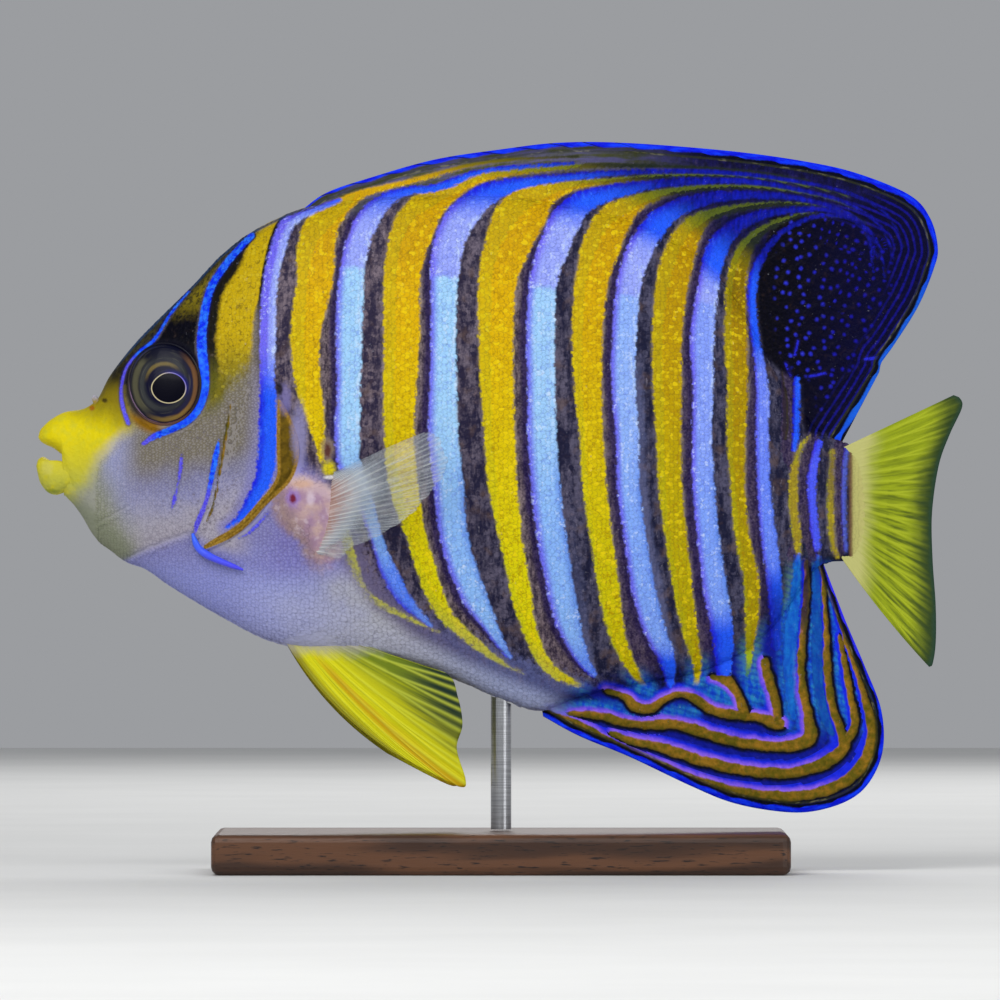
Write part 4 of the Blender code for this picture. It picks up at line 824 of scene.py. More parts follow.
# %% Fish skin finish
def fish_finish(name, ragged=0.36):
    """All layers of colour in their order, with pores and fine grain as bump."""
    f = Finish(name, Specular_IOR_Level=0.06)
    f.grain, f.fine, f.broad = f.noise(1.1, 3), f.noise(0.42, 2), f.noise(6, 2)
    f.streak_place = f.stretched(1, 1, 0.3)
    f.streak = f.noise(0.8, 3, f.streak_place)
    f.across, f.tone, f.rim_of_scale = f.read("across"), f.read("tone"), f.read("brim")
    rag = f.grain * ragged + f.fine * ragged + f.tone * 0.4

    skin = lobe_colours(f, head_ground(f, body_ground(f)))
    upper = f.at(f.read("run") * 0.1, f.read("rim") * 0.9)
    bands = f.blend(f.ramp(f.noise(0.9, 2, upper), -0.14, 0.14), (70, 74, 36), (84, 82, 122))
    skin = f.blend(f.read("upper") * f.ramp(f.x, 10, 46, 1, 0), skin, bands)
    skin = bar_colours(f, skin, rag)
    skin = anal_colours(f, skin, rag, f.read("blue") + rag)

    bright = f.lay(
        f.blend(f.ramp(f.grain - f.tone * 0.4, -0.25, 0.3), (8, 44, 244), (46, 124, 255)),
        (f.read("violet"), f.blend(f.ramp(f.fine, -0.2, 0.3), (78, 66, 226), (116, 112, 240))),
        (f.ramp(f.x, 50, 52), (34, 38, 206)))
    line = f.read("line")
    hem = f.read("membrane")
    back = f.ramp(hem + f.grain * 0.25, -0.95, -0.45)
    bronze = f.blend(back, f.blend(f.ramp(f.grain, -0.2, 0.25), (82, 64, 12), (112, 88, 18)),
                     f.blend(f.ramp(f.fine, -0.2, 0.3), (132, 98, 26), (172, 138, 54)))
    rim = f.read("rim")
    rope = f.at(f.read("run") * 0.25, rim)
    bead = f.ramp(f.maths("ABSOLUTE", rim - 0.85), 0.1, 0.32, 1, 0)
    slit = f.maths("FRACT", (f.read("run") - rim * 4 + f.broad * 2) / 6.8)
    torn = f.ramp(slit, 0.05, 0.16, 1, 0) * f.ramp(f.x, 16, 34, 1, 0) * f.ramp(f.z, 90, 100)
    edge_blue = f.lay(
        f.blend(f.ramp(f.noise(0.8, 2, rope), -0.15, 0.2), (4, 16, 214), (12, 60, 250)),
        (f.ramp(f.z, 122, 110) * f.ramp(f.z, 80, 90), (22, 92, 216)),
        (torn * 0.85, (3, 4, 44)),
        (f.ramp(f.z, 50, 30, 1, 0) * f.ramp(f.z, 80, 70), (52, 46, 236)))
    skin = f.lay(
        skin,
        (f.inside(line + f.fine * 0.2 - 0.25, 0.3) * f.ramp(f.z, 82, 88, 0.25, 0.6), (20, 16, 90)),
        (f.inside(line + f.fine * 0.35 + f.tone * 0.12, 0.14), bright),
        (f.inside(hem + f.fine * 0.2, 0.14), bronze),
        (f.ramp(rim, 0.3, 1.5, 1, 0) * (1 - f.read("upper") * 0.6), (2, 4, 22)),
        (bead * 0.55, f.blend(f.ramp(f.noise(0.6, 2, rope), 0.02, 0.2), (48, 52, 22), (120, 118, 84))),
        (f.inside(rim + f.fine * 0.2 + f.ramp(slit, 0, 1) * 0.3 - 0.15, 0.16), edge_blue))
    for cx, cz, across_mm, height_mm, strength, colour in SPOTS:
        wide, tall = (f.x - cx) * (1 / across_mm), (f.z - cz) * (1 / height_mm)
        gap = f.maths("SQRT", wide * wide + tall * tall)
        skin = f.blend(f.ramp(gap + f.fine * 0.5 + f.grain * 0.4, 0.4, 1.3, strength, 0), skin, colour)
    speck = f.ramp(f.fine + f.streak * 0.5 - f.tone * 0.2, 0.24, 0.44)
    skin = f.lay(
        skin,
        (speck * 0.2, (214, 214, 226)),
        # painted shade: the visible rim of each scale is darkened as if shaded where it overlaps the next, less on
        # the anal fin
        (f.ramp(f.rim_of_scale, 0.72, 1) * (1 - f.read("anal") * 0.8) * 0.26, (24, 20, 48)))

    pores = f.node("ShaderNodeTexVoronoi", {"feature": "F1"}, {"Vector": f.place, "Scale": 1.1}, "Distance")
    return f.done(Base_Color=skin, Roughness=0.5 + f.grain * 0.12 + f.broad * 0.08,
                  Normal=f.bump(pores * 0.6 + f.fine * 0.4, 0.22, 0.8))


# soft spots of colour: x, z, half length, half height, strength and colour
SPOTS = [
    (-39.2, 85.5, 1.7, 6, 0.75, (142, 138, 184)), (-41.9, 92.2, 1.3, 3.2, 0.8, (124, 116, 170)),
    (-43, 94, 0.7, 1.1, 0.9, (30, 24, 30)),
    (-40.4, 72.9, 1.5, 2, 0.7, (142, 110, 200)), (-40.4, 72.8, 0.7, 1.1, 0.95, (112, 22, 36)),
    (-38.6, 75.6, 2.2, 0.8, 0.5, (206, 160, 120)), (-37, 72.8, 0.9, 1.6, 0.6, (214, 196, 212)),
    (-33.7, 82.5, 1.4, 2.2, 0.7, (170, 150, 130)), (-33.7, 82.1, 0.8, 1.7, 0.95, (88, 48, 44)),
    (-33.4, 78.6, 1.4, 1.6, 0.95, (212, 196, 20)), (-33.2, 76.9, 1.3, 0.45, 0.9, (226, 222, 224)),
    (-79.7, 90.4, 0.6, 0.6, 0.85, (166, 92, 12)), (-77.2, 91.9, 0.6, 0.5, 0.85, (50, 40, 20)),
    (-88.4, 78.8, 1.3, 1.6, 0.6, (200, 194, 96)), (-87.9, 74.2, 2.2, 0.5, 0.6, (120, 138, 40)),
]
skin_finish = fish_finish("fish_skin")
print("fish skin nodes:", len(skin_finish.node_tree.nodes))

# %% [markdown]
# ## Weights that belong to places
# Some colours fade in over a zone instead of stopping at an edge: the lilac belly, the olive-gold behind
# the eye, the deep blue that the bars take on towards the fins. Each zone is a weight from 0 to 1 worked
# out from the same length and height, and it is stored beside the distances.

# %% Zone weights and the complete set of stored values
DORSAL_MARGIN = [
    (-39.4, 128.6), (-34.1, 132.4), (-25.4, 135.4), (-13, 138.9), (0, 140.9), (11.5, 142.2), (25, 142.1), (45, 140.5),
    (60, 138.4), (69.9, 136.1), (79.8, 132), (83.8, 127.5), (85.3, 121.8), (84.5, 117.6), (81.4, 110.2),
    (76.6, 102.6), (74.4, 99.6), (73.8, 97.4),
]
DORSAL_EDGE = DORSAL_MARGIN + [(70, 91.2), (65.6, 84.4)]
ANAL_MARGIN = [(8.2, 30.3), (15.2, 26.5), (25.1, 22.4), (36.9, 16.8), (45, 13.5), (53.7, 11.8), (60.5, 11.7),
               (67.4, 13.7), (71.8, 17.3), (74.5, 23.6), (74.2, 31.5), (71, 40), (67.4, 48.4)]
ANAL_EDGE = ANAL_MARGIN + [(63.2, 59.6)]
LOBE_FRONT = [(46, 134.5), (52, 131), (50.5, 124), (48.5, 117), (48.4, 109), (49.6, 101.5), (52.5, 98), (57.2, 95),
              (57.7, 84)]


def over(points, z):
    """x of a line that runs from bottom to top, at height z."""
    px, pz = np.array(points, dtype=float)[:, :2].T
    order = np.argsort(pz)
    return np.interp(z, pz[order], px[order])


# height where the bars start to darken towards the dorsal fin, over length
DARKENING = [(-60, 131), (-38, 130), (-22, 131), (-3, 131), (10, 129.5), (18, 128), (28, 124.5), (36, 120.5),
             (43, 115.5), (49, 111), (52, 106), (58, 101)]


def along_edge(edge, place):
    """Length in millimetres along an edge, from the place that counts its points."""
    run = np.concatenate([[0.0], np.cumsum(np.hypot(*np.diff(np.array(edge), axis=0).T))])
    return np.interp(place, np.arange(len(edge)), run)


EDGE_REACH = 16.0
# water-green hollows between the first brown stripe and the body
POCKETS = [(12, 31.6, 0.4), (20, 31.4, 0.5), (26, 30.4, 0.4), (31, 31.2, 0.3), (37, 31, 0.2), (40.6, 34.2, 1),
           (43.6, 34, 1.2), (48.4, 33.6, 1.2), (49.6, 36.6, 1.2), (50.2, 40.6, 0.6)]


def stored(x, z, on_fin=0.0):
    """All values that the fish finish reads, for arrays of lengths and heights."""
    def zone(x_out, x_in, z_out, z_in):
        """1 past x_in and z_in, fading to 0 at x_out and z_out."""
        return step(x_out, x_in, x) * step(z_out, z_in, z)

    m = markings(x, z)
    rise = top_of(np.clip(x, -90.0, 67.0)) - z
    drop = z - profile(BELLY_LINE, x)
    dark = z - np.interp(x, *np.array(DARKENING).T)
    lobe = step(-0.4, 1, x - over(LOBE_FRONT, z) - 1) * step(84, 86, z)
    lobe = lobe * step(131, 127.5, z + 0.16 * (60 - x))
    deep_in = step(3, 5, x - over(LOBE_FRONT, z) - 1 + 0.4 * step(106, 96, z))
    mar_d, _, run_d = stroke(DORSAL_EDGE, x, z, EDGE_REACH)
    mar_a, _, run_a = stroke(ANAL_EDGE, x, z, EDGE_REACH)
    upper = z > 75.0
    mar = np.where(upper, mar_d, mar_a)
    run = np.where(upper, along_edge(DORSAL_EDGE, run_d), along_edge(ANAL_EDGE, run_a))
    rim_width = np.where(upper, np.interp(run_d, [0, 3, 6, 10, 12, 15, 19], [0.25, 0.75, 0.95, 1.15, 0.8, 0.62, 0.5]),
                         np.interp(run_a, [0, 3, 5, 8, 10, 13], [0.7, 1, 1.1, 0.85, 0.42, 0.35]))
    eye = m.pop("eye_gap")
    behind_gill = zone(-41.5, -42.6, 60, 64)
    head = step(-44, -50, x - 0.1 * np.minimum(z - 95, 0))
    head = head * step(-1, 2.2, z - np.interp(x, [-82, -74, -60, -56, -44], [57, 60.3, 65.4, 62.6, 60]))
    under_eye = step(-74.5, -72.5, x) * zone(-64.5, -67.5, 82.8, 84.6) * step(91, 88, z)
    violet = np.clip(zone(-60.8, -61.4, 82.6, 82) + step(76.5, 73, z) * step(-53.5, -55, x)
                     + zone(-70.6, -72, 102, 99) + zone(-66.5, -69, 86.5, 85.6)
                     + zone(-51, -50, 73, 71) * 0.9, 0.0, 1.0)
    gill_bar = step(103, 92, z) * step(-41, -42, x)
    belly_gap = m.pop("belly")
    belly = step(-1.8, 2, belly_gap)
    haze = step(-9.5, -0.5, belly_gap) * step(-41, -34, x) * zone(30, 16, 74, 64)
    return m | {
        "lobe": lobe, "deep_in": deep_in, "run": run, "mar": mar, "head": head, "violet": violet,
        "rim": np.where(on_fin > 0.5, mar - rim_width, 60.0),
        "deep": np.clip(step(-5, 2, dark) * step(-48, -38, x) + gill_bar
                        + zone(36, 41, 53, 46) + zone(50, 53, 62, 55)
                        + zone(20, 30, 45, 38) + zone(47.5, 49, 96, 104)
                        + step(54, 57, x) * 0.6 + zone(56, 56.8, 81, 84) + haze * step(-22, -10, x) * 0.5
                        + zone(5, 12, 47, 39) * 0.5
                        + step(-15, -18, x) * zone(-31, -27, 65, 57) * 0.55, 0.0, 1.0),
        "dusk": np.clip(step(3, 12, dark) * step(-40, -10, x) * 0.95
                        + zone(49, 52, 60, 50) * 0.7, 0.0, 1.0),
        "olive": step(1.5, 13, dark) * step(-42, -10, x),
        "upper": step(7, 4.5, mar_d) * step(46, 30, x) * zone(-44, -38, 125, 128),
        "belly": belly, "haze": haze,
        "amber": under_eye * step(1.34, 1.15, eye),
        "edge_dark": np.maximum(step(1.16, 1.04, eye) * step(86, 90, z) * 0.85,
                                step(2.2, 0.6, drop) * step(57, 60, x) * 0.95),
        "forehead": np.maximum(step(2.6, 0.5, rise) * step(-45, -50, x) * step(-79, -75.5, x) * 0.9,
                               m.pop("brow") * 0.95),
        "outline": step(0.9, 0.3, rise) * step(-0.1, 0.12, rise) * step(-36.5, -40, x) * step(-76, -72, x),
        "flesh": np.clip(step(1.35, 0.65, ellipse(x, z, -38.9, 71.4, 5.8, 6))
                         + step(1.45, 0.55, ellipse(x, z, -34.4, 66.5, 4.4, 7.4, -0.15)), 0.0, 1.0),
        "green": zone(44, 47, 45, 37.5),
        "tail_root": step(67.4, 69.3, x) * (1.0 - on_fin),
        "cyan": zone(54, 56, 62.4, 60),
        "pocket": np.maximum(step(2.4, 0.2, np.minimum(m["yellow"], stroke(POCKETS, x, z)[0])), step(53, 55.5, x)),
        "anal": np.clip(step(3, -2, drop - 1.5) * zone(6, 16, 61, 58)
                        + zone(54.5, 57, 62, 57) * step(65, 63, x - 0.35 * (62 - z)), 0.0, 1.0),
        "glow": step(67, 61, x + 0.35 * (z - 18)) * step(8, 16, x),
        "bar_share": np.maximum(step(2.6, -4.5, belly_gap), behind_gill),
    }


print("lobe front at z 110:", round(float(over(LOBE_FRONT, 110.0)), 1))

# %% [markdown]
# ## The body's skin
# The skin is one loft with many more sections than the solids: dense over the face, wider behind. On each
# flank the points run from the back ridge to the belly ridge, partly by equal height and partly by equal
# angle, which keeps both the flat flank and the tight ridges smooth. The relief of eye socket, gill edge
# and fin root is added sideways.

# %% Body loft
NOSE_X, NECK_X, SKIN_END = -90.2, -38.0, 71.0
NOSE_RINGS, FACE_GAP, TRUNK_GAP = 20, 0.42, 0.72
FLANK_SPOTS = 142


def skin_point(x, s):
    """Half width and height of the skin at length x; s runs from 1 on the back to -1 on the belly."""
    top, low, level = top_of(x), low_of(x), profile(WIDEST_LEVEL, x)
    z = level + np.where(s >= 0.0, (top - level) * s, (level - low) * s)
    y = flank(x, z) + relief(x, z) * step(0, 0.05, 1 - np.abs(s))
    return np.maximum(y, 0.15), z


def body_points(xs, spots):
    """Left flank from back to belly, then right flank from belly to back, for each length x."""
    t = np.linspace(1.0, -1.0, spots)
    s = 0.65 * t + 0.35 * np.sin(0.5 * math.pi * t)
    X = np.repeat(xs[:, None], spots, axis=1)
    y, z = skin_point(X, np.broadcast_to(s, X.shape))
    left = np.stack([X, side_bend(X) - y, z], axis=-1)
    right = np.stack([X, side_bend(X) + y, z], axis=-1)[:, ::-1]
    return np.concatenate([left, right], axis=1)


nose = NOSE_X + 5.0 * (1.0 - np.cos(np.linspace(0.0, 0.5 * math.pi, NOSE_RINGS)))
face = np.arange(-84.9, NECK_X, FACE_GAP)
trunk = np.append(np.arange(NECK_X, SKIN_END, TRUNK_GAP), SKIN_END)
rings = body_points(np.concatenate([nose, face, trunk]), FLANK_SPOTS)
count, around = rings.shape[:2]
k = np.arange(around // 2 - 1)
first_cap = np.stack([k, k + 1, around - 2 - k, around - 1 - k], axis=-1)
last_cap = (first_cap + (count - 1) * around)[:, ::-1]
skin = surface("fish_body", rings,
               np.vstack([grid_faces(count, around), ring_seam(count, around), first_cap, last_cap]))
store(skin, **stored(rings[..., 0].ravel(), rings[..., 2].ravel()))
dress(skin, skin_finish, "torso", ["head", "torso", "tail_stem"])

# %% [markdown]
# ## Lower jaw
# The jaw is a short loft of its own, so that the mouth stays open. Its top is the floor of the mouth and
# the lower lip rolls over its edge.

# %% Lower jaw
JAW_TOP = [(-90.6, 79.3), (-90.3, 80.3), (-89.5, 80.9), (-88.3, 81.2), (-86.8, 81.2), (-85.4, 80.9), (-83, 79)]
JAW_LOW = [(-90.6, 78.9), (-90.2, 77), (-89.9, 76), (-89.3, 75), (-88.5, 74.1), (-87.5, 73.6), (-86.6, 73.5),
           (-85.6, 73.8), (-84.4, 74.2), (-83, 74.8)]
JAW_WIDTH = [(-90.6, 0.6), (-90.3, 2.1), (-89, 3.4), (-87.2, 4.25), (-85.6, 4.45), (-84.2, 4.3), (-83, 3.6)]
JAW_RINGS, JAW_SPOTS = 56, 72
JAW_TIP_X, JAW_LENGTH = -90.6, 7.6
xs = JAW_TIP_X + JAW_LENGTH * (1.0 - np.cos(np.linspace(0.0, 0.5 * math.pi, JAW_RINGS)))
X, A = np.meshgrid(xs, circle(JAW_SPOTS), indexing="ij")
top, low, wide = profile(JAW_TOP, X), profile(JAW_LOW, X), profile(JAW_WIDTH, X)
rise = np.sin(A)
Z = 0.5 * (top + low) + 0.5 * (top - low) * np.sign(rise) * np.abs(rise) ** 0.95
lip = np.exp(-((Z - top + 0.9) / 0.7) ** 2) * step(-83.5, -85.5, X)
Y = (wide * (0.86 + 0.14 * lip)) * np.sign(np.cos(A)) * np.abs(np.cos(A)) ** 0.92
floor_dip = step(0.75, 0.35, np.abs(Y) / wide) * step(0, 1, rise) * step(-89.6, -87.5, X)
Z = Z - 1.1 * floor_dip
faces = np.vstack([grid_faces(JAW_RINGS, JAW_SPOTS), ring_seam(JAW_RINGS, JAW_SPOTS)]).tolist()
tip = np.arange(JAW_SPOTS)
faces += [tip[::-1].tolist(), (tip + (JAW_RINGS - 1) * JAW_SPOTS).tolist()]
jaw = surface("lower_jaw_skin", np.stack([X, Y, Z], axis=-1), faces)
store(jaw, **stored(X.ravel(), Z.ravel()))
dress(jaw, skin_finish, "lower_jaw", ["lower_jaw"])

# %% [markdown]
# ## Gill covers
# The gill cover is a bony plate with a soft hem. It lies against the cheek in front and stands free
# behind, so its rear edge throws a narrow shadow on the flank. Two layers, less than a millimetre apart,
# are joined round the rim.

# %% Gill covers
def path(points, fractions):
    """Points at given fractions of a smooth curve's length."""
    fine = curve(points, 12)
    run = np.concatenate([[0.0], np.cumsum(np.linalg.norm(np.diff(fine, axis=0), axis=1))])
    target = np.asarray(fractions) * run[-1]
    return np.column_stack([np.interp(target, run, fine[:, 0]), np.interp(target, run, fine[:, 1])])


def closed_sheet(name, near, far):
    """Two grids of points, the near one and the far one, joined round their rim."""
    nu, nv = near.shape[:2]
    start = nu * nv
    faces = np.vstack([grid_faces(nu, nv), grid_faces(nu, nv, start=start, flip=True)])
    rim = np.concatenate([np.arange(nu) * nv, (nu - 1) * nv + np.arange(1, nv),
                          np.arange(nu - 2, -1, -1) * nv + nv - 1, np.arange(nv - 2, 0, -1)])
    after = np.roll(rim, -1)
    wall = np.stack([rim, rim + start, after + start, after], axis=-1)
    return surface(name, np.concatenate([near.reshape(-1, 3), far.reshape(-1, 3)]), np.vstack([faces, wall]))


v = np.linspace(0.0, 1.0, 110)
plate_front = path([(-59.6, 65.2), (-57.4, 69.5), (-55.6, 75.0), (-54.0, 82.0), (-52.8, 88.0), (-50.4, 93.4),
                    (-47.0, 96.3)], v)
plate_rear = path(GILL_REAR, v)
u = np.linspace(0.0, 1.0, 54)
xz = plate_front[None] + (plate_rear - plate_front)[None] * u[:, None, None]
plate_outer = {}
for side, label in SIDES:
    U = np.repeat(u[:, None], len(v), axis=1)
    proud = 0.75 * step(0, 0.75, U) - 0.45 * step(0.9, 1, U) ** 2 - 0.12
    base = flank(xz[..., 0], xz[..., 1]) - 0.28 * np.exp(-(U / 0.06) ** 2)
    thick = 0.75 - 0.5 * step(0.6, 1, U)
    outer = np.stack([xz[..., 0], side * (base + proud), xz[..., 1]], axis=-1)
    inner = np.stack([xz[..., 0], side * (base + proud - thick), xz[..., 1]], axis=-1)
    plate_outer[side] = outer
    plate = closed_sheet("gill_cover_" + label + "_skin", *((outer, inner) if side < 0 else (inner, outer)))
    store(plate, **stored(np.tile(xz[..., 0].ravel(), 2), np.tile(xz[..., 1].ravel(), 2)))
    dress(plate, skin_finish, "gill_cover", ["gill_cover_" + label])

# %% [markdown]
# ## Scales
# The body of this fish is covered with small rough-edged scales, about one millimetre apart, that overlap
# like tiles towards the tail. They could be a bump pattern, but then the edge of each bar would stay a
# clean line, and the outline of the back would stay bare. So each scale is a small closed lens: a rim of
# eight points, a raised top and a sunk underside, with its front end in the skin. The rows stand at equal
# distances along the body and round it, every second row moved by half a step.

# %% Scale shapes
SCALE_STEP = [(-80, 0.6), (-62, 0.66), (-48, 0.76), (-36, 0.88), (0, 0.92), (40, 0.86), (68, 0.66)]
SCALE_SIDES = 8
SCALE_POINTS = SCALE_SIDES + 2
ROW_SHARE = 0.86
SPOTS_ROUND = 260
PIECE_LIMIT = 11500
TAIL_ROOT_X = 69.6
PATCH_UV = 0.0015
chance = np.random.default_rng(12)


def unit(vectors):
    """Vectors of length one."""
    return vectors / np.linalg.norm(vectors, axis=-1, keepdims=True)


def scale_mesh(name, slot, root, along, normal, step_mm, uv, flat):
    """Lens-shaped closed scales on given roots; flat is the share of the full relief that each keeps."""
    n = len(root)
    normal = unit(normal)
    along = unit(along - normal * np.sum(along * normal, axis=1)[:, None])
    swing = chance.normal(0.0, 0.17, n)[:, None]
    along = unit(along + swing * np.cross(normal, along))
    side = np.cross(normal, along)
    a = circle(SCALE_SIDES)
    size = (step_mm * (1.0 + chance.normal(0.0, 0.09, n)))[:, None]
    ahead = size * (0.88 * np.cos(a) + 0.42)
    wide = size * 0.62 * np.sin(a) * (1.0 - 0.18 * np.cos(a))
    tip = (0.025 + 0.075 * size * (1.0 + chance.normal(0.0, 0.35, n)[:, None])) * flat[:, None]
    proud = (tip + 0.05) * (0.5 + 0.5 * np.cos(a)) - 0.05
    rim = (root[:, None] + ahead[..., None] * along[:, None] + wide[..., None] * side[:, None]
           + proud[..., None] * normal[:, None])
    crown = root + along * size * 0.4 + normal * (0.55 * tip + 0.02)
    under = root + along * size * 0.4 - normal * 0.12
    points = np.concatenate([rim, crown[:, None], under[:, None]], axis=1)
    k = np.arange(SCALE_SIDES)
    after = (k + 1) % SCALE_SIDES
    one = np.vstack([np.stack([np.full_like(k, SCALE_SIDES), k, after], axis=-1),
                     np.stack([np.full_like(k, SCALE_SIDES + 1), after, k], axis=-1)])
    faces = (one[None] + (np.arange(n) * SCALE_POINTS)[:, None, None]).reshape(-1, 3)
    ob = surface(name, points, faces, turn=False)
    ends = np.zeros(2 * len(ob.data.edges), dtype=np.int32)
    ob.data.edges.foreach_get("vertices", ends)
    ob.data.edges.foreach_set("use_edge_sharp", (ends.reshape(-1, 2) % SCALE_POINTS < SCALE_SIDES).all(axis=1))
    values = stored(points[..., 0].ravel(), points[..., 2].ravel(), 1.0 if name.startswith("fin") else 0.0)
    store(ob, tone=np.repeat(chance.uniform(-0.5, 0.5, n), SCALE_POINTS),
          brim=np.tile([1.0] * SCALE_SIDES + [0.0, 1.0], n), **values)
    spread = np.concatenate([np.stack([np.cos(a), np.sin(a)], axis=-1), np.zeros((2, 2))]) * PATCH_UV
    patch = (uv[:, None] + spread[None]).reshape(-1, 2)
    corner = np.zeros(len(ob.data.loops), dtype=np.int32)
    ob.data.loops.foreach_get("vertex_index", corner)
    layer = ob.data.uv_layers.new(name="OFBake")
    layer.data.foreach_set("uv", patch[corner].astype(np.float32).ravel())
    dress(ob, skin_finish, slot)


def scale_step(x):
    """Distance between the scales at length x."""
    return float(np.interp(x, *np.array(SCALE_STEP).T))


def ring_rows(x_low, x_high):
    """Roots in rows round the flank: (x, s, step, share of the row) for each root."""
    xs, x = [], x_low
    while x < x_high:
        xs.append(x)
        x += scale_step(x)
    xs = np.array(xs)
    X, s = np.meshgrid(xs, np.linspace(1.0, -1.0, SPOTS_ROUND), indexing="ij")
    y, z = skin_point(X, s)
    run = np.concatenate([np.zeros((len(xs), 1)), np.cumsum(np.hypot(np.diff(y), np.diff(z)), axis=1)], axis=1)
    rows = []
    for i, x in enumerate(xs):
        gap = ROW_SHARE * scale_step(x)
        at = np.arange(0.25 + 0.5 * (i % 2), run[i, -1] / gap) * gap
        rows.append(np.column_stack([np.full(len(at), x), np.interp(at, run[i], s[i]),
                                     np.full(len(at), gap / ROW_SHARE), at / run[i, -1]]))
    return np.vstack(rows)


def inside_of(outline, x, z):
    """Whether points lie inside a closed outline: an upward ray crosses it an odd number of times."""
    px, pz = np.array(outline).T
    inside = np.zeros(np.shape(x), dtype=bool)
    for ax, az, bx, bz in zip(px, pz, np.roll(px, -1), np.roll(pz, -1)):
        inside ^= ((ax > x) != (bx > x)) & (z < (bz - az) * (x - ax) / (bx - ax + 1e-9) + az)
    return inside


print("scales", scale_step(-70.0), "to", scale_step(0.0), "mm apart")

# %% Coat of scales
def body_coat(side, label):
    """Scales on one flank: bare are snout, eye, fin roots and what the gill cover hides."""
    rows = ring_rows(-79.0, TAIL_ROOT_X)
    rows[:, 0] += chance.normal(0.0, 0.13, len(rows)) * rows[:, 2]
    x, s = rows[:, 0], np.clip(rows[:, 1] + chance.normal(0.0, 0.0022, len(rows)), -0.999, 0.999)
    z = skin_point(x, s)[1]
    snout, eye_gap = stroke(SNOUT_EDGE, x, z, FAR, 1), ellipse(x, z, EYE_X, EYE_Z, EYE_RX, EYE_RZ)
    plate = inside_of(np.vstack([plate_front[::6], plate_rear[::-6]]), x - 0.6, z)
    flesh = np.minimum(ellipse(x, z, -38.3, 72, 5.6, 5.8), ellipse(x, z, -34.4, 66.5, 4.4, 7.4, -0.15))
    under_fin = ((s > 0.996) & (x > -37.0)) | ((s < -0.996) & (x > 9.0))
    keep = ((-np.sign(snout[1]) * snout[0] > 0.2) & (eye_gap > 1.15) & ~plate & (flesh > 0.75) & ~under_fin
            & (ellipse(x, z, -38, 43, 6, 4) > 1.0) & (x < TAIL_ROOT_X))
    flat = (0.35 + 0.65 * step(0.75, 1.5, flesh)) * (0.55 + 0.45 * step(-52, -38, x)) * (1.0 - 0.5 * step(46, 40, z))
    flat = flat * (1.0 - 0.6 * step(65, 69, x))
    x, s, rows, flat = x[keep], s[keep], rows[keep], flat[keep]

    def place(x, s):
        """Point of the skin on this flank."""
        y, z = skin_point(x, s)
        return np.stack([x, side_bend(x) + side * y, z], axis=-1)

    root = place(x, s)
    along = place(x + 0.25, s) - place(x - 0.25, s)
    down = place(x, np.clip(s - 0.006, -1.0, 1.0)) - place(x, np.clip(s + 0.006, -1.0, 1.0))
    normal = np.cross(along, down) * -side
    centre = np.stack([x, side_bend(x), 0.5 * (top_of(x) + low_of(x))], axis=-1)
    normal = normal * np.sign(np.sum(normal * (root - centre), axis=1))[:, None]
    uv = np.column_stack([0.02 + 0.96 * (x - NOSE_X) / 162.0, 0.5 + side * (0.01 + 0.48 * rows[:, 3])])
    order = np.argsort(x, kind="stable")
    for number, part in enumerate(np.array_split(order, math.ceil(len(order) / PIECE_LIMIT))):
        scale_mesh(f"scales_{label}_{number}", "torso", root[part], along[part], normal[part], rows[part, 2],
                   uv[part], flat[part])


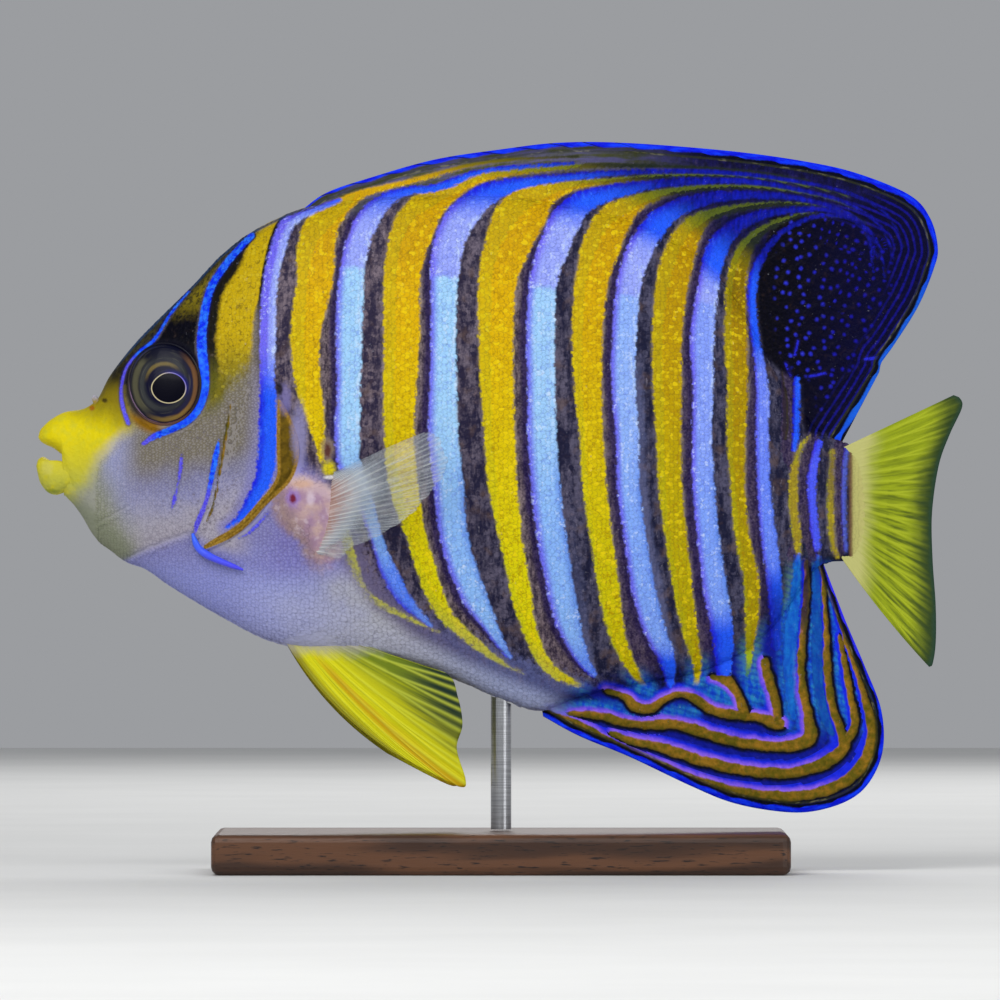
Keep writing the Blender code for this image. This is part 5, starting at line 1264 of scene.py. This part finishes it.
def sheet_coat(name, slot, grid, side, gap, wanted, lean=0.0):
    """Smaller scales on a thin sheet, such as a gill cover or a fin root, in rows across its grid of points.

    The rows follow the grid's first direction; wanted tells from a root and its share of the way across the
    sheet how much relief the scale has there, and nothing below a tenth is made. Lean turns the scales aft.
    """
    span = np.linalg.norm(np.diff(grid, axis=0), axis=-1).sum(axis=0)
    middle = grid[len(grid) // 3]
    along_v = np.concatenate([[0.0], np.cumsum(np.linalg.norm(np.diff(middle, axis=0), axis=1))])
    rows = []
    for i, at in enumerate(np.arange(0.6, along_v[-1] - 0.5, ROW_SHARE * gap)):
        v_at = np.interp(at, along_v, np.arange(grid.shape[1]))
        width = float(np.interp(v_at, np.arange(grid.shape[1]), span))
        across = (np.arange(0.4 + 0.5 * (i % 2), max(width / gap, 1.0)) * gap) / width * (grid.shape[0] - 1)
        rows.append(np.column_stack([across, np.full(len(across), v_at)]))
    rows = np.vstack(rows)
    one_step = [gap / span.mean() * len(grid), gap / along_v[-1] * grid.shape[1]]
    rows = rows + chance.normal(0.0, 0.12, rows.shape) * one_step

    def place(u, v):
        """Point of the outer face between its four nearest grid points."""
        u, v = np.clip(u, 0.0, grid.shape[0] - 1.001), np.clip(v, 0.0, grid.shape[1] - 1.001)
        i, j = u.astype(int), v.astype(int)
        fu, fv = (u - i)[:, None], (v - j)[:, None]
        return ((1 - fu) * (1 - fv) * grid[i, j] + fu * (1 - fv) * grid[i + 1, j]
                + (1 - fu) * fv * grid[i, j + 1] + fu * fv * grid[i + 1, j + 1])

    u, v = rows.T
    root = place(u, v)
    along, up = place(u + 1.0, v) - place(u - 1.0, v), place(u, v + 1.0) - place(u, v - 1.0)
    normal = np.cross(along, up)
    normal = normal * (np.sign(normal[:, 1]) * side)[:, None]
    flat = wanted(root[:, 0], root[:, 2], u / (len(grid) - 1.0)) * (np.linalg.norm(along, axis=1) > 0.05)
    keep = flat > 0.1
    root, along, normal, flat = root[keep], unit(along[keep]) + [lean, 0.0, 0.0], normal[keep], flat[keep]
    low, high = grid.reshape(-1, 3).min(axis=0), grid.reshape(-1, 3).max(axis=0)
    fitted = (root - low) / (high - low).max()
    uv = np.column_stack([0.02 + 0.96 * fitted[:, 0], 0.5 + side * (0.01 + 0.46 * fitted[:, 2])])
    scale_mesh(name, slot, root, along, normal, np.full(len(root), gap), uv, flat)


for side, label in SIDES:
    body_coat(side, label)
    sheet_coat("gill_scales_" + label, "gill_cover", plate_outer[side], side, 0.68,
               lambda x, z, share: 0.55 * (stroke(MEMBRANE, x, z)[0] > 0.25))

# %% [markdown]
# ## Cheek spines
# Angelfishes carry a strong spine at the lower corner of the cheek; here it is bright blue. A tube along a
# curved path, thick at its root and thin at its point, is all it needs.

# %% Cheek spines
def tube(points_mm, radii, sides=14):
    """Rings of points round a path, each square to it, with a cap point at both ends."""
    pts, radii = np.asarray(points_mm, dtype=float), np.asarray(radii, dtype=float)
    along = np.gradient(pts, axis=0)
    along /= np.linalg.norm(along, axis=1)[:, None]
    side = np.cross(along, [0.0, 1.0, 0.0])
    side /= np.linalg.norm(side, axis=1)[:, None]
    up = np.cross(side, along)
    a = circle(sides)
    rings = (pts[:, None] + radii[:, None, None] * (np.cos(a)[None, :, None] * side[:, None]
                                                   + np.sin(a)[None, :, None] * up[:, None]))
    n, j = len(pts), np.arange(sides)
    caps = np.vstack([fan(n * sides, j), fan(n * sides + 1, (n - 1) * sides + j[::-1])])
    faces = grid_faces(n, sides, close_v=True, flip=True).tolist() + caps.tolist()
    return np.vstack([rings.reshape(-1, 3), pts[:1], pts[-1:]]), faces


def spine_finish():
    """Smooth enamel blue with a violet root."""
    f = Finish("cheek_spine_enamel", Specular_IOR_Level=0.4)
    grain = f.noise(0.9, 2)
    colour = f.blend(f.ramp(f.z + grain * 1.5, 58.5, 66), (78, 72, 244), (52, 104, 255))
    return f.done(Base_Color=colour, Roughness=0.34 + grain * 0.15, Normal=f.bump(grain, 0.06, 0.5))


spine_blue = spine_finish()
t = np.linspace(0.0, 1.0, 40)
spine_x, spine_z = path([(-60, 66), (-59, 63.4), (-57.4, 62), (-55, 60.8), (-50.1, 58.9)], t).T
radius = np.interp(t, [0, 0.15, 0.4, 0.85, 1], [0.25, 0.62, 0.78, 0.48, 0.2])
for side, label in SIDES:
    y = flank(spine_x, spine_z) + 0.1 + radius + 0.5 * t
    points, faces = tube(np.column_stack([spine_x, side * y, spine_z]), radius)
    spine = surface("cheek_spine_" + label + "_horn", points, faces)
    dress(spine, spine_blue, "cheek_spine", ["cheek_spine_" + label])

# %% [markdown]
# ## Eyes
# The eye is a flattened ball in its socket. Rings of grey, olive, navy and gold lie round a pear-shaped
# pupil with a thin silver edge. Each point stores its direction and distance from the pupil's centre, in
# the units of the ring that it belongs to, and the finish paints the rings from that.

# %% Eye finish
def eye_finish():
    """Concentric bands with streaks that run round them, under a clear, moist cornea."""
    f = Finish("eye_glass", Coat_Weight=0.08, Coat_Roughness=0.1, Coat_IOR=1.34, Specular_IOR_Level=0.06)
    pupil, edge, east, north = (f.read(n) for n in ("pupil", "edge", "east", "north"))
    streaks = f.noise(0.5, 3, f.at(east, north, edge * 9))
    cloud = f.noise(2.4, 3)
    band = edge + streaks * 0.05 + cloud * 0.05

    def ring_of(middle, half):
        """1 in the middle of a band of the iris, 0 beyond its half width."""
        return f.ramp(f.maths("ABSOLUTE", band - middle), half * 0.3, half, 1, 0)

    rose = ring_of(0.965, 0.035) * f.ramp(east * -0.5 - north, 0.3, 0.8)
    glow = f.ramp(pupil, 1.04, 1.35, 1, 0) * f.ramp(east + north, 0, 0.7)
    ring = f.blend(f.ramp(east + north * 1.3, 0.1, 0.9), (196, 184, 146), (64, 60, 206))
    iris = f.lay(
        f.blend(f.ramp(band, 0.44, 0.62), (12, 12, 40), (44, 46, 50)),
        (f.ramp(band, 0.62, 0.72) * 0.8, (20, 20, 34)),
        (ring_of(0.8, 0.12) * f.ramp(east + cloud * 0.8, -0.05, -0.75, 0, 0.9), (86, 84, 64)),
        (ring_of(0.62, 0.1) * f.ramp(east + north * 0.2, -0.1, -0.6, 0, 0.6), (64, 66, 66)),
        (f.ramp(north + cloud * 0.5, 0.4, 0.75, 0, 0.95), (5, 7, 32)),
        (f.ramp(north + cloud * 0.4, -0.5, -0.8, 0, 0.7), (16, 18, 48)),
        (ring_of(0.86, 0.09) * f.ramp(east - north * 0.3, 0.1, 0.8), (112, 78, 50)),
        (ring_of(0.74, 0.07) * f.ramp(east - north * 0.3, 0.1, 0.8) * 0.8, (36, 34, 62)),
        (ring_of(0.86, 0.07) * f.ramp(east * 0.3 - north, 0.5, 0.95) * 0.8, (128, 104, 48)),
        (ring_of(0.5, 0.07) * f.ramp(north - east * 0.3, 0.15, 0.5) * 0.85, (116, 100, 52)),
        (rose, (166, 134, 168)),
        (f.ramp(band, 0.95, 1.01) * 0.85, (30, 26, 30)),
        (f.ramp(streaks, 0.05, 0.3) * 0.22, (120, 116, 96)),
        (glow * 0.85, (10, 8, 108)),
        (f.ramp(pupil, 1.045, 1.085, 1, 0), ring),
        (f.ramp(pupil, 0.985, 1.015, 1, 0), (1, 1, 16)))
    return f.done(Base_Color=iris, Roughness=0.36 + streaks * 0.2, Normal=f.bump(streaks, 0.04, 0.3))


def lid_finish():
    """Dark moist skin round the eye, warm below and violet-black above."""
    f = Finish("eye_lid", Specular_IOR_Level=0.2)
    grain = f.noise(0.8, 3)
    low = f.blend(f.ramp(f.z + grain, 87, 91), (92, 62, 52), (40, 32, 34))
    colour = f.blend(f.ramp(f.z + grain, 98, 101), low, (14, 14, 30))
    return f.done(Base_Color=colour, Roughness=0.4 + grain * 0.2, Normal=f.bump(grain, 0.1, 0.6))


eye_glass, lid_skin = eye_finish(), lid_finish()
print("eye finishes ready")

# %% Eyes and their rims
EYE_BALL = (8.4, 9.4, 3.1)
EYE_BULGE, EYE_YAW, EYE_PITCH = 1.4, math.radians(12.0), math.radians(9.0)
PUPIL_X, PUPIL_Z, PUPIL_RX, PUPIL_RZ = -64.55, 94.3, 3.22, 2.86
RIM_AT, RIM_HALF, RIM_SPOTS = 0.985, 0.26, 12


def turned(points, side):
    """Points turned like the eye: the face looks a little forward and up."""
    cz, sz = math.cos(side * EYE_YAW), math.sin(side * EYE_YAW)
    cx, sx = math.cos(side * EYE_PITCH), math.sin(side * EYE_PITCH)
    x, y, z = points[..., 0], points[..., 1], points[..., 2]
    x, y = cz * x - sz * y, sz * x + cz * y
    y, z = cx * y - sx * z, sx * y + cx * z
    return np.stack([x, y, z], axis=-1)


tilt = np.linspace(0.0, math.pi, 90)[1:-1]
spin = circle(128)
for side, label in SIDES:
    S, T = np.meshgrid(spin, tilt, indexing="ij")
    ball = np.stack([EYE_BALL[0] * np.sin(T) * np.cos(S), side * EYE_BALL[2] * np.cos(T),
                     EYE_BALL[1] * np.sin(T) * np.sin(S)], axis=-1).reshape(-1, 3)
    poles = np.array([[0.0, side * EYE_BALL[2], 0.0], [0.0, -side * EYE_BALL[2], 0.0]])
    reach = side * (float(flank(np.array(EYE_X), np.array(EYE_Z))) + EYE_BULGE - EYE_BALL[2])
    ball = turned(np.vstack([ball, poles]), side) + [EYE_X, reach, EYE_Z]
    edge = ellipse(ball[:, 0], ball[:, 2], EYE_X, EYE_Z, EYE_RX, EYE_RZ)
    level = flank(ball[:, 0], ball[:, 2]) - 0.5
    share = step(0.9, 1.02, edge)
    out_of = side * ball[:, 1]
    ball[:, 1] = side * np.where(out_of > level, out_of + (level - out_of) * share, out_of)
    nv, n = len(tilt), len(spin)
    faces = grid_faces(n, nv, close_u=True, flip=side < 0).tolist()
    near = np.arange(n) * nv
    faces += np.vstack([fan(n * nv, near), fan(n * nv + 1, near + nv - 1)]).tolist()
    eye = surface("eye_" + label + "_ball", ball, faces)
    dx, dz = (ball[:, 0] - PUPIL_X) / PUPIL_RX, (ball[:, 2] - PUPIL_Z) / PUPIL_RZ
    bearing = np.arctan2(dz, dx)
    pinch = (1.0 - 0.045 * np.exp(-((bearing - 2.3) / 0.5) ** 2)
             + 0.015 * np.exp(-((np.abs(bearing) - math.pi) / 0.4) ** 2))
    store(eye, pupil=np.hypot(dx, dz) / pinch, edge=edge, east=(ball[:, 0] - EYE_X) / EYE_RX,
          north=(ball[:, 2] - EYE_Z) / EYE_RZ)
    dress(eye, eye_glass, "eye", ["eye_" + label])
    rim_x, rim_z = EYE_X + RIM_AT * EYE_RX * np.cos(spin), EYE_Z + RIM_AT * EYE_RZ * np.sin(spin)
    A = circle(RIM_SPOTS)
    ring_x = rim_x[:, None] + RIM_HALF * np.cos(A) * np.cos(spin)[:, None]
    ring_z = rim_z[:, None] + RIM_HALF * np.cos(A) * np.sin(spin)[:, None]
    ring_y = side * (flank(rim_x, rim_z)[:, None] - 0.05 + 0.34 * np.sin(A))
    ring = np.stack([ring_x, np.broadcast_to(ring_y, ring_x.shape), ring_z], axis=-1)
    lid = surface("eye_rim_" + label, ring, grid_faces(n, RIM_SPOTS, close_u=True, close_v=True, flip=side > 0))
    dress(lid, lid_skin, "head")

# %% [markdown]
# ## Nostril flaps
# In front of each eye the nostril carries a small pale flap of skin that stands up over the line of the
# snout. It is a short flattened tongue: a tube whose rings are narrow ovals.

# %% Nostril flaps
def flap_finish():
    """Whitish lilac skin with a warm root."""
    f = Finish("nostril_flap_skin", Specular_IOR_Level=0.2)
    grain = f.noise(0.5, 2)
    colour = f.blend(f.ramp(f.z + grain, 91.6, 92.6), (160, 138, 60), (168, 164, 178))
    return f.done(Base_Color=colour, Roughness=0.5 + grain * 0.1, Normal=f.bump(grain, 0.05, 0.5))


flap_skin = flap_finish()
t = np.linspace(0.0, 1.0, 14)
A = circle(16)
for side, label in SIDES:
    middle = np.column_stack([-78.6 - 0.9 * t, side * (2.1 + 0.3 * t), 91.0 + 2.1 * t - 0.3 * t**2])
    wide, thin = 0.62 * np.sqrt(1.0 - (t * 0.97) ** 4), 0.22 * (1.0 - 0.5 * t)
    ring = middle[:, None] + np.stack([wide[:, None] * np.cos(A) * 0.8, side * thin[:, None] * np.sin(A),
                                       wide[:, None] * np.cos(A) * 0.6], axis=-1)
    root = np.arange(len(A)) * len(t)
    faces = grid_faces(len(A), len(t), close_u=True).tolist() + [root.tolist(), (root + len(t) - 1).tolist()]
    flap = surface("nostril_flap_" + label, ring.transpose(1, 0, 2), faces)
    dress(flap, flap_skin, "head")

# %% [markdown]
# ## Fins
# A fin is a sheet of skin stretched over rays. The grid runs along the base in one direction and out
# along the rays in the other; each ray is a low ridge on both faces, and the soft rays fork towards the
# margin. The base lies inside the body, so that fin and back join without a gap.

# %% Fin builder
fin_faces = {}


def ray_relief(U, V, rays, fork=True):
    """Ridge height from 0 to 1: a narrow crest on each ray, split in two beyond its middle."""
    cell = U * rays % 1.0 - 0.5
    spread = 0.22 * step(0.45, 0.9, V) if fork else 0.0 * V
    single = np.exp(-(cell / 0.16) ** 2)
    pair = np.exp(-((np.abs(cell) - spread) / 0.1) ** 2)
    return np.where(spread > 0.01, pair, single)


def fin(name, base, margin, size, rays, sheet, thick, ridge=0.16, bow=(0.0, 0.0), fork=True, tatter=0.0):
    """Closed fin sheet; returns the object, its length and height arrays, and both fin parameters."""
    u, v = np.linspace(0.0, 1.0, size[0]), np.linspace(0.0, 1.0, size[1])
    inner, outer = path(base, u), path(margin, u)
    chord = outer - inner
    torn = (np.abs(np.sin(math.pi * rays * u)) ** 0.6 - 1.0
            + 0.8 * np.sin(rays * 2.3 * u + 1.0) * np.sin(rays * 0.9 * u))
    chord = chord * (1.0 + tatter * torn / np.linalg.norm(chord, axis=1))[:, None]
    across = np.column_stack([-chord[:, 1], chord[:, 0]])
    lift = np.interp(u, [0, 1], bow)[:, None] * across / np.linalg.norm(across, axis=1)[:, None]
    U, V = np.meshgrid(u, v, indexing="ij")
    xz = inner[:, None] + chord[:, None] * V[..., None] + lift[:, None] * (4 * V * (1 - V))[..., None]
    x, z = xz[..., 0], xz[..., 1]
    crest = ray_relief(U, V, rays, fork)
    half = (thick[1] + (thick[0] - thick[1]) * (1.0 - V) ** 2.2
            + ridge * crest * (1.0 - 0.6 * V**2) * step(0.12, 0.3, V))
    half = half * (0.45 + 0.55 * step(0, 0.03, 1 - V))
    middle = sheet(x, z, U, V) + side_bend(x)
    near = np.stack([x, middle - half, z], axis=-1)
    far = np.stack([x, middle + half, z], axis=-1)
    ob = closed_sheet(name, near, far)
    fin_faces[name] = {-1: near, 1: far}
    return ob, np.tile(x.ravel(), 2), np.tile(z.ravel(), 2), np.tile(U.ravel(), 2), np.tile(V.ravel(), 2)


def ridge_base(line, x_from, x_to, sink):
    """Path along the back or the belly, sunk into the body."""
    x = np.linspace(x_from, x_to, 60)
    z = profile(line, x)
    slope = np.gradient(z, x)
    normal = np.column_stack([-slope, np.ones(60)]) / np.sqrt(1.0 + slope**2)[:, None]
    return np.column_stack([x, z]) - sink * normal


def cover(edge, inner_share, relief_share, clear_mm):
    """Relief of the scales at a fin's root, fading out along the rays and well inside the margin."""
    return lambda x, z, share: ((step(*inner_share, share) * relief_share + 0.05)
                                * step(*clear_mm, stroke(edge, x, z, FAR)[0]))


MARKED_FINS = [
    ("dorsal", ridge_base(BACK_LINE, -38.0, 66.4, 1.2), DORSAL_MARGIN, 640, 32, 0.7, 0.72,
     cover(DORSAL_EDGE, (0.74, 0.3), 0.9, (2.2, 4.5))),
    ("anal", ridge_base(BELLY_LINE, 8.0, 63.0, -1.2), ANAL_MARGIN, 460, 21, -0.7, 0.7,
     cover(ANAL_EDGE, (0.6, 0.2), 0.8, (2.5, 5.0))),
]
for name, base, margin, across, rays, wave, *_ in MARKED_FINS:
    sheet, x, z, *_ = fin(name + "_fin_skin", base, margin, (across, 64), rays,
                          lambda x, z, u, v: wave * np.sin(2.6 * math.pi * u) * v**2, (1.5, 0.28))
    store(sheet, **stored(x, z, 1.0))
    dress(sheet, skin_finish, name + "_fin", [name + "_fin"])
for side, label in SIDES:
    for name, *_, gap, wanted in MARKED_FINS:
        sheet_coat("fin_scales_" + name + "_" + label, name + "_fin",
                   fin_faces[name + "_fin_skin"][side].transpose(1, 0, 2), side, gap, wanted, lean=1.2)

# %% [markdown]
# ## Tail, pelvic and pectoral fins
# These fins are coloured by their rays alone, so they store the place along the base and out along the
# ray, and their finishes draw the rays from those. The pectoral fin is a clear membrane: its colour is
# thin, and most of the bar behind it shows through.

# %% Fin finishes
def ray_skin(name, gloss, rays_across, cuts_along, grain_mm=0.8, broad_mm=5.0, detail=3):
    """Start of a fin's finish: its stored values, two noises, and streaks that follow the rays."""
    f = Finish(name, Specular_IOR_Level=gloss)
    out, ray, place = f.read("out"), f.read("ray"), f.read("along")
    streak = f.noise(1, 3, f.at(place * rays_across, out * cuts_along))
    return f, out, ray, place, f.noise(grain_mm, detail), f.noise(broad_mm, 2), streak


def tail_finish():
    """Olive yellow with darker streaks between the rays, pale at the root, green at the margin."""
    f, out, ray, place, grain, broad, streak = ray_skin("tail_fin_skin", 0.14, 60, 3)
    colour = f.blend(f.ramp(out + broad * 0.16 + streak * 0.1, 0.17, 0.42), (190, 188, 116), (150, 164, 18))
    dark = f.ramp(f.z, 86, 66, 0.35, 0.95) * f.ramp(out, 0.2, 0.46)
    colour = f.lay(
        colour,
        (f.ramp(streak - ray * 0.22, -0.16, 0.18) * dark, (76, 92, 14)),
        (ray * f.ramp(out, 0.2, 0.5) * 0.75, (172, 184, 38)),
        (f.ramp(out + broad * 0.16 + streak * 0.14, 0.68, 0.98), (44, 64, 24)),
        (f.ramp(out + broad * 0.05, 0.94, 1), (38, 66, 48)))
    return f.done(Base_Color=colour, Roughness=0.52 + grain * 0.15,
                  Normal=f.bump(streak + grain * 0.4, 0.12, 0.7))


def pelvic_finish():
    """Lemon with orange streaks between bright rays, olive in front, dark green towards the rear edge."""
    f, out, ray, place, grain, broad, streak = ray_skin("pelvic_fin_skin", 0.14, 42, 2)
    colour = f.blend(f.ramp(streak, -0.14, 0.14), (202, 200, 6), (222, 216, 22))
    warm = f.ramp(f.maths("ABSOLUTE", place + streak * 0.12 - 0.3), 0.01, 0.07, 1, 0)
    front = f.ramp(place + streak * 0.06, 0.05, 0.13, 1, 0)
    rear = f.ramp(place + streak * 0.3 + out * 0.12, 0.5, 0.8)
    colour = f.lay(
        colour,
        (warm * f.ramp(out, 0.08, 0.3) * 0.7, (200, 140, 4)),
        (front * 0.85, (128, 118, 20)),
        (rear * 0.85, (72, 104, 24)),
        (rear * f.ramp(out + streak * 0.4, 0.5, 0.95), (22, 44, 34)),
        (ray * f.ramp(out, 0.1, 0.4) * (0.35 + rear * 0.25), (206, 216, 70)),
        (f.ramp(f.z + grain * 2 + broad * 4, 41, 45.5), (168, 164, 150)))
    return f.done(Base_Color=colour, Roughness=0.48 + grain * 0.15, Normal=f.bump(streak, 0.15, 0.7))


def pectoral_finish():
    """Milky membrane between whitish rays, fleshy brown-pink at the root."""
    f, out, ray, place, grain, broad, streak = ray_skin("pectoral_fin_skin", 0.12, 70, 2.5, 0.7, 4, 2)
    root = f.ramp(out + grain * 0.15 + streak * 0.15, 0.16, 0.44)
    membrane = f.blend(f.ramp(streak + broad, -0.3, 0.3), (168, 178, 190), (196, 204, 212))
    colour = f.blend(root, f.blend(f.ramp(streak, -0.1, 0.2), (164, 124, 112), (196, 166, 158)), membrane)
    colour = f.blend(ray * f.ramp(out, 0.12, 0.35) * f.ramp(streak, -0.3, 0.2, 0.2, 0.6), colour, (212, 216, 212))
    opaque = f.ramp(out + grain * 0.1 + streak * 0.2, 0.22, 0.66, 0.9, 0.14) + ray * 0.15
    opaque = opaque * f.ramp(out + streak * 0.1 + grain * 0.1, 0.08, 0.22, 0.25, 1)
    opaque = opaque + f.ramp(streak + broad * 0.5, 0, 0.35, 0, 0.16)
    return f.done(Base_Color=colour, Roughness=0.45 + grain * 0.1, Alpha=opaque)


tail_skin, pelvic_skin, pectoral_skin = tail_finish(), pelvic_finish(), pectoral_finish()
print("fin finishes ready")

# %% Tail, pelvic and pectoral shapes
CAUDAL_BASE = [(66.4, 82.6), (66.4, 61.2)]
CAUDAL_MARGIN = [(88.4, 93), (89.7, 92.3), (90, 90.4), (87.6, 85.2), (85.5, 79.2), (84.2, 70), (84.3, 61), (84.9, 52),
                 (84.9, 44.8), (84.3, 40.6), (83.6, 39.9)]
PELVIC_BASE = [(-43.4, 47.4), (-38, 46.6), (-32.5, 46.2)]
PELVIC_MARGIN = [(-20.6, 23), (-12.3, 18.6), (-7.6, 16.6), (-6.9, 18.2), (-8.6, 24.2), (-7.5, 28.8), (-8.4, 34.2),
                 (-10.4, 38.6), (-18, 41)]
PECTORAL_BASE = [(-37.5, 75.6), (-38.4, 69.5), (-38, 62.6)]
PECTORAL_MARGIN = [(-27.5, 80.2), (-20.4, 83.4), (-13.9, 85.7), (-11.4, 83), (-10.2, 79.6), (-12.4, 75.6),
                   (-16.7, 70.4), (-22.9, 65.9), (-28.4, 63.5), (-31.2, 60.9)]
TAIL_RAYS, PELVIC_RAYS, PECTORAL_RAYS = 17, 11, 25

tail, _, _, U, V = fin("caudal_fin_skin", CAUDAL_BASE, CAUDAL_MARGIN, (360, 60), TAIL_RAYS,
                       lambda x, z, u, v: 1.6 * np.sin(math.pi * u) * v**2, (1.9, 0.28), bow=(0.0, -0.5))
store(tail, along=U, out=V, ray=ray_relief(U, V, TAIL_RAYS))
dress(tail, tail_skin, "caudal_fin", ["caudal_fin"])
for side, label in SIDES:
    swing = 0.0 if side < 0 else 1.6
    pelvic, _, _, U, V = fin(
        "pelvic_fin_" + label + "_skin", PELVIC_BASE, [(a - swing, b) for a, b in PELVIC_MARGIN], (260, 50),
        PELVIC_RAYS,
        lambda x, z, u, v: side * (1.9 + math.tan(math.radians(7.0)) * (x + 41.0)), (0.9, 0.28), bow=(-2.2, 0.3))
    store(pelvic, along=U, out=V, ray=ray_relief(U, V, PELVIC_RAYS))
    dress(pelvic, pelvic_skin, "pelvic_fin", ["pelvic_fin_" + label])
    pectoral, _, _, U, V = fin(
        "pectoral_fin_" + label + "_skin", PECTORAL_BASE, PECTORAL_MARGIN, (460, 50), PECTORAL_RAYS,
        lambda x, z, u, v: side * (10.6 + math.tan(math.radians(24.0)) * (x + 37.0) - 1.5 * v**2 * (u - 0.5)),
        (0.9, 0.16), ridge=0.12, tatter=0.45)
    store(pectoral, along=U, out=V, ray=ray_relief(U, V, PECTORAL_RAYS))
    dress(pectoral, pectoral_skin, "pectoral_fin", ["pectoral_fin_" + label])

# %% [markdown]
# ## Stand
# The stand keeps its solids. The base becomes oiled dark walnut: rings that run along the board, pores as
# short dark strokes. The rod becomes brushed steel.

# %% Stand finishes
def walnut_finish():
    """Wood from stretched noise: grain lines along X, bent by a broad noise."""
    f = Finish("oiled_walnut", Specular_IOR_Level=0.4, Coat_Roughness=0.3)
    stretched = f.stretched(0.12, 1, 1)
    warp, pores = f.noise(9, 3, stretched), f.noise(0.35, 3, stretched)
    lines = f.maths("SINE", f.y * 1.1 + f.z * 0.9 + warp * 14)
    edge = f.ramp(f.z, 6.4, 8) * 0.15
    wood = f.lay(
        f.blend(f.ramp(lines + warp, -1, 1), (58, 36, 24), (96, 62, 40)),
        (f.ramp(pores, 0.08, 0.2), (30, 18, 13)),
        (edge, (128, 88, 58)))
    return f.done(Base_Color=wood, Roughness=0.42 + pores * 0.3, Normal=f.bump(pores + lines * 0.1, 0.08, 0.5))


def steel_finish():
    """Fine rings round the rod from noise that is stretched sideways."""
    f = Finish("brushed_steel", Metallic=1)
    rings = f.noise(1, 3, f.stretched(0.1, 0.1, 4))
    colour = f.blend(f.ramp(rings, -0.2, 0.2), (150, 152, 156), (186, 188, 192))
    return f.done(Base_Color=colour, Roughness=0.3 + rings * 0.15, Normal=f.bump(rings, 0.02, 0.3))


for name, finish in (("stand_base", walnut_finish()), ("stand_rod", steel_finish())):
    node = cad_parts[name]
    for spot in node.material_slots:
        spot.material = finish
print("stand finished")

# %% [markdown]
# ## Floor, light and camera
# A pale floor, a large soft light above the camera, a weaker one to its right and one behind the fish, high
# up. The camera stands where the photograph was taken from: square to the left flank, far enough for
# little perspective.

# %% Floor, lights, camera
VIEW_MM_PER_PIXEL, IMAGE_WIDTH = 0.195, 1000
CAMERA_DISTANCE = 3.0
VIEW_CENTRE = (-0.2, 72.5)
FLOOR_REACH = 1500.0

floor = surface("floor", [(a * FLOOR_REACH, b * FLOOR_REACH, -0.02) for a, b in ((-1, -1), (1, -1), (1, 1), (-1, 1))],
                [(0, 1, 2, 3)], smooth=False, turn=False)
f = Finish("pale_floor", Specular_IOR_Level=0.2)
f.done(Base_Color=f.blend(f.ramp(f.noise(60.0, 3.0), -0.5, 0.5), (218, 218, 216), (226, 226, 224)),
       Roughness=0.75 + f.noise(20.0) * 0.05)
floor.data.materials.append(f.material)


def lamp(name, place, size, power, aim=(0.0, 0.0, 0.07)):
    """Square area light that faces a point."""
    data = bpy.data.lights.new(name, "AREA")
    data.size, data.energy = size, power
    ob = bpy.data.objects.new(name, data)
    bpy.context.scene.collection.objects.link(ob)
    ob.location = place
    aim_at(ob, aim)


def aim_at(ob, point):
    """Turn an object so that its -Z axis points at a place."""
    ob.rotation_euler = (Vector(point) - ob.location).to_track_quat("-Z", "Y").to_euler()


lamp("key_light", (-0.35, -0.9, 0.75), 0.6, 7.6)
lamp("fill_light", (0.7, -0.7, 0.3), 0.6, 2.5)
lamp("back_light", (0.2, 0.9, 0.7), 0.8, 5.0)
world = bpy.data.worlds.new("studio_air")
world.use_nodes = True
world.node_tree.nodes["Background"].inputs["Color"].default_value = (0.82, 0.84, 0.88, 1.0)
world.node_tree.nodes["Background"].inputs["Strength"].default_value = 0.4
bpy.context.scene.world = world
bpy.context.scene.view_settings.view_transform = "Standard"
bpy.context.scene.view_settings.look = "None"

camera_data = bpy.data.cameras.new("photo_camera")
camera = bpy.data.objects.new("photo_camera", camera_data)
bpy.context.scene.collection.objects.link(camera)
camera.location = (VIEW_CENTRE[0] * MM, -CAMERA_DISTANCE, VIEW_CENTRE[1] * MM)
camera.rotation_euler = (0.5 * math.pi, 0.0, 0.0)
camera_data.lens = camera_data.sensor_width * CAMERA_DISTANCE / (VIEW_MM_PER_PIXEL * IMAGE_WIDTH * MM)
camera_data.clip_end = 20.0
bpy.context.scene.camera = camera
print("camera lens", round(camera_data.lens, 1), "mm")
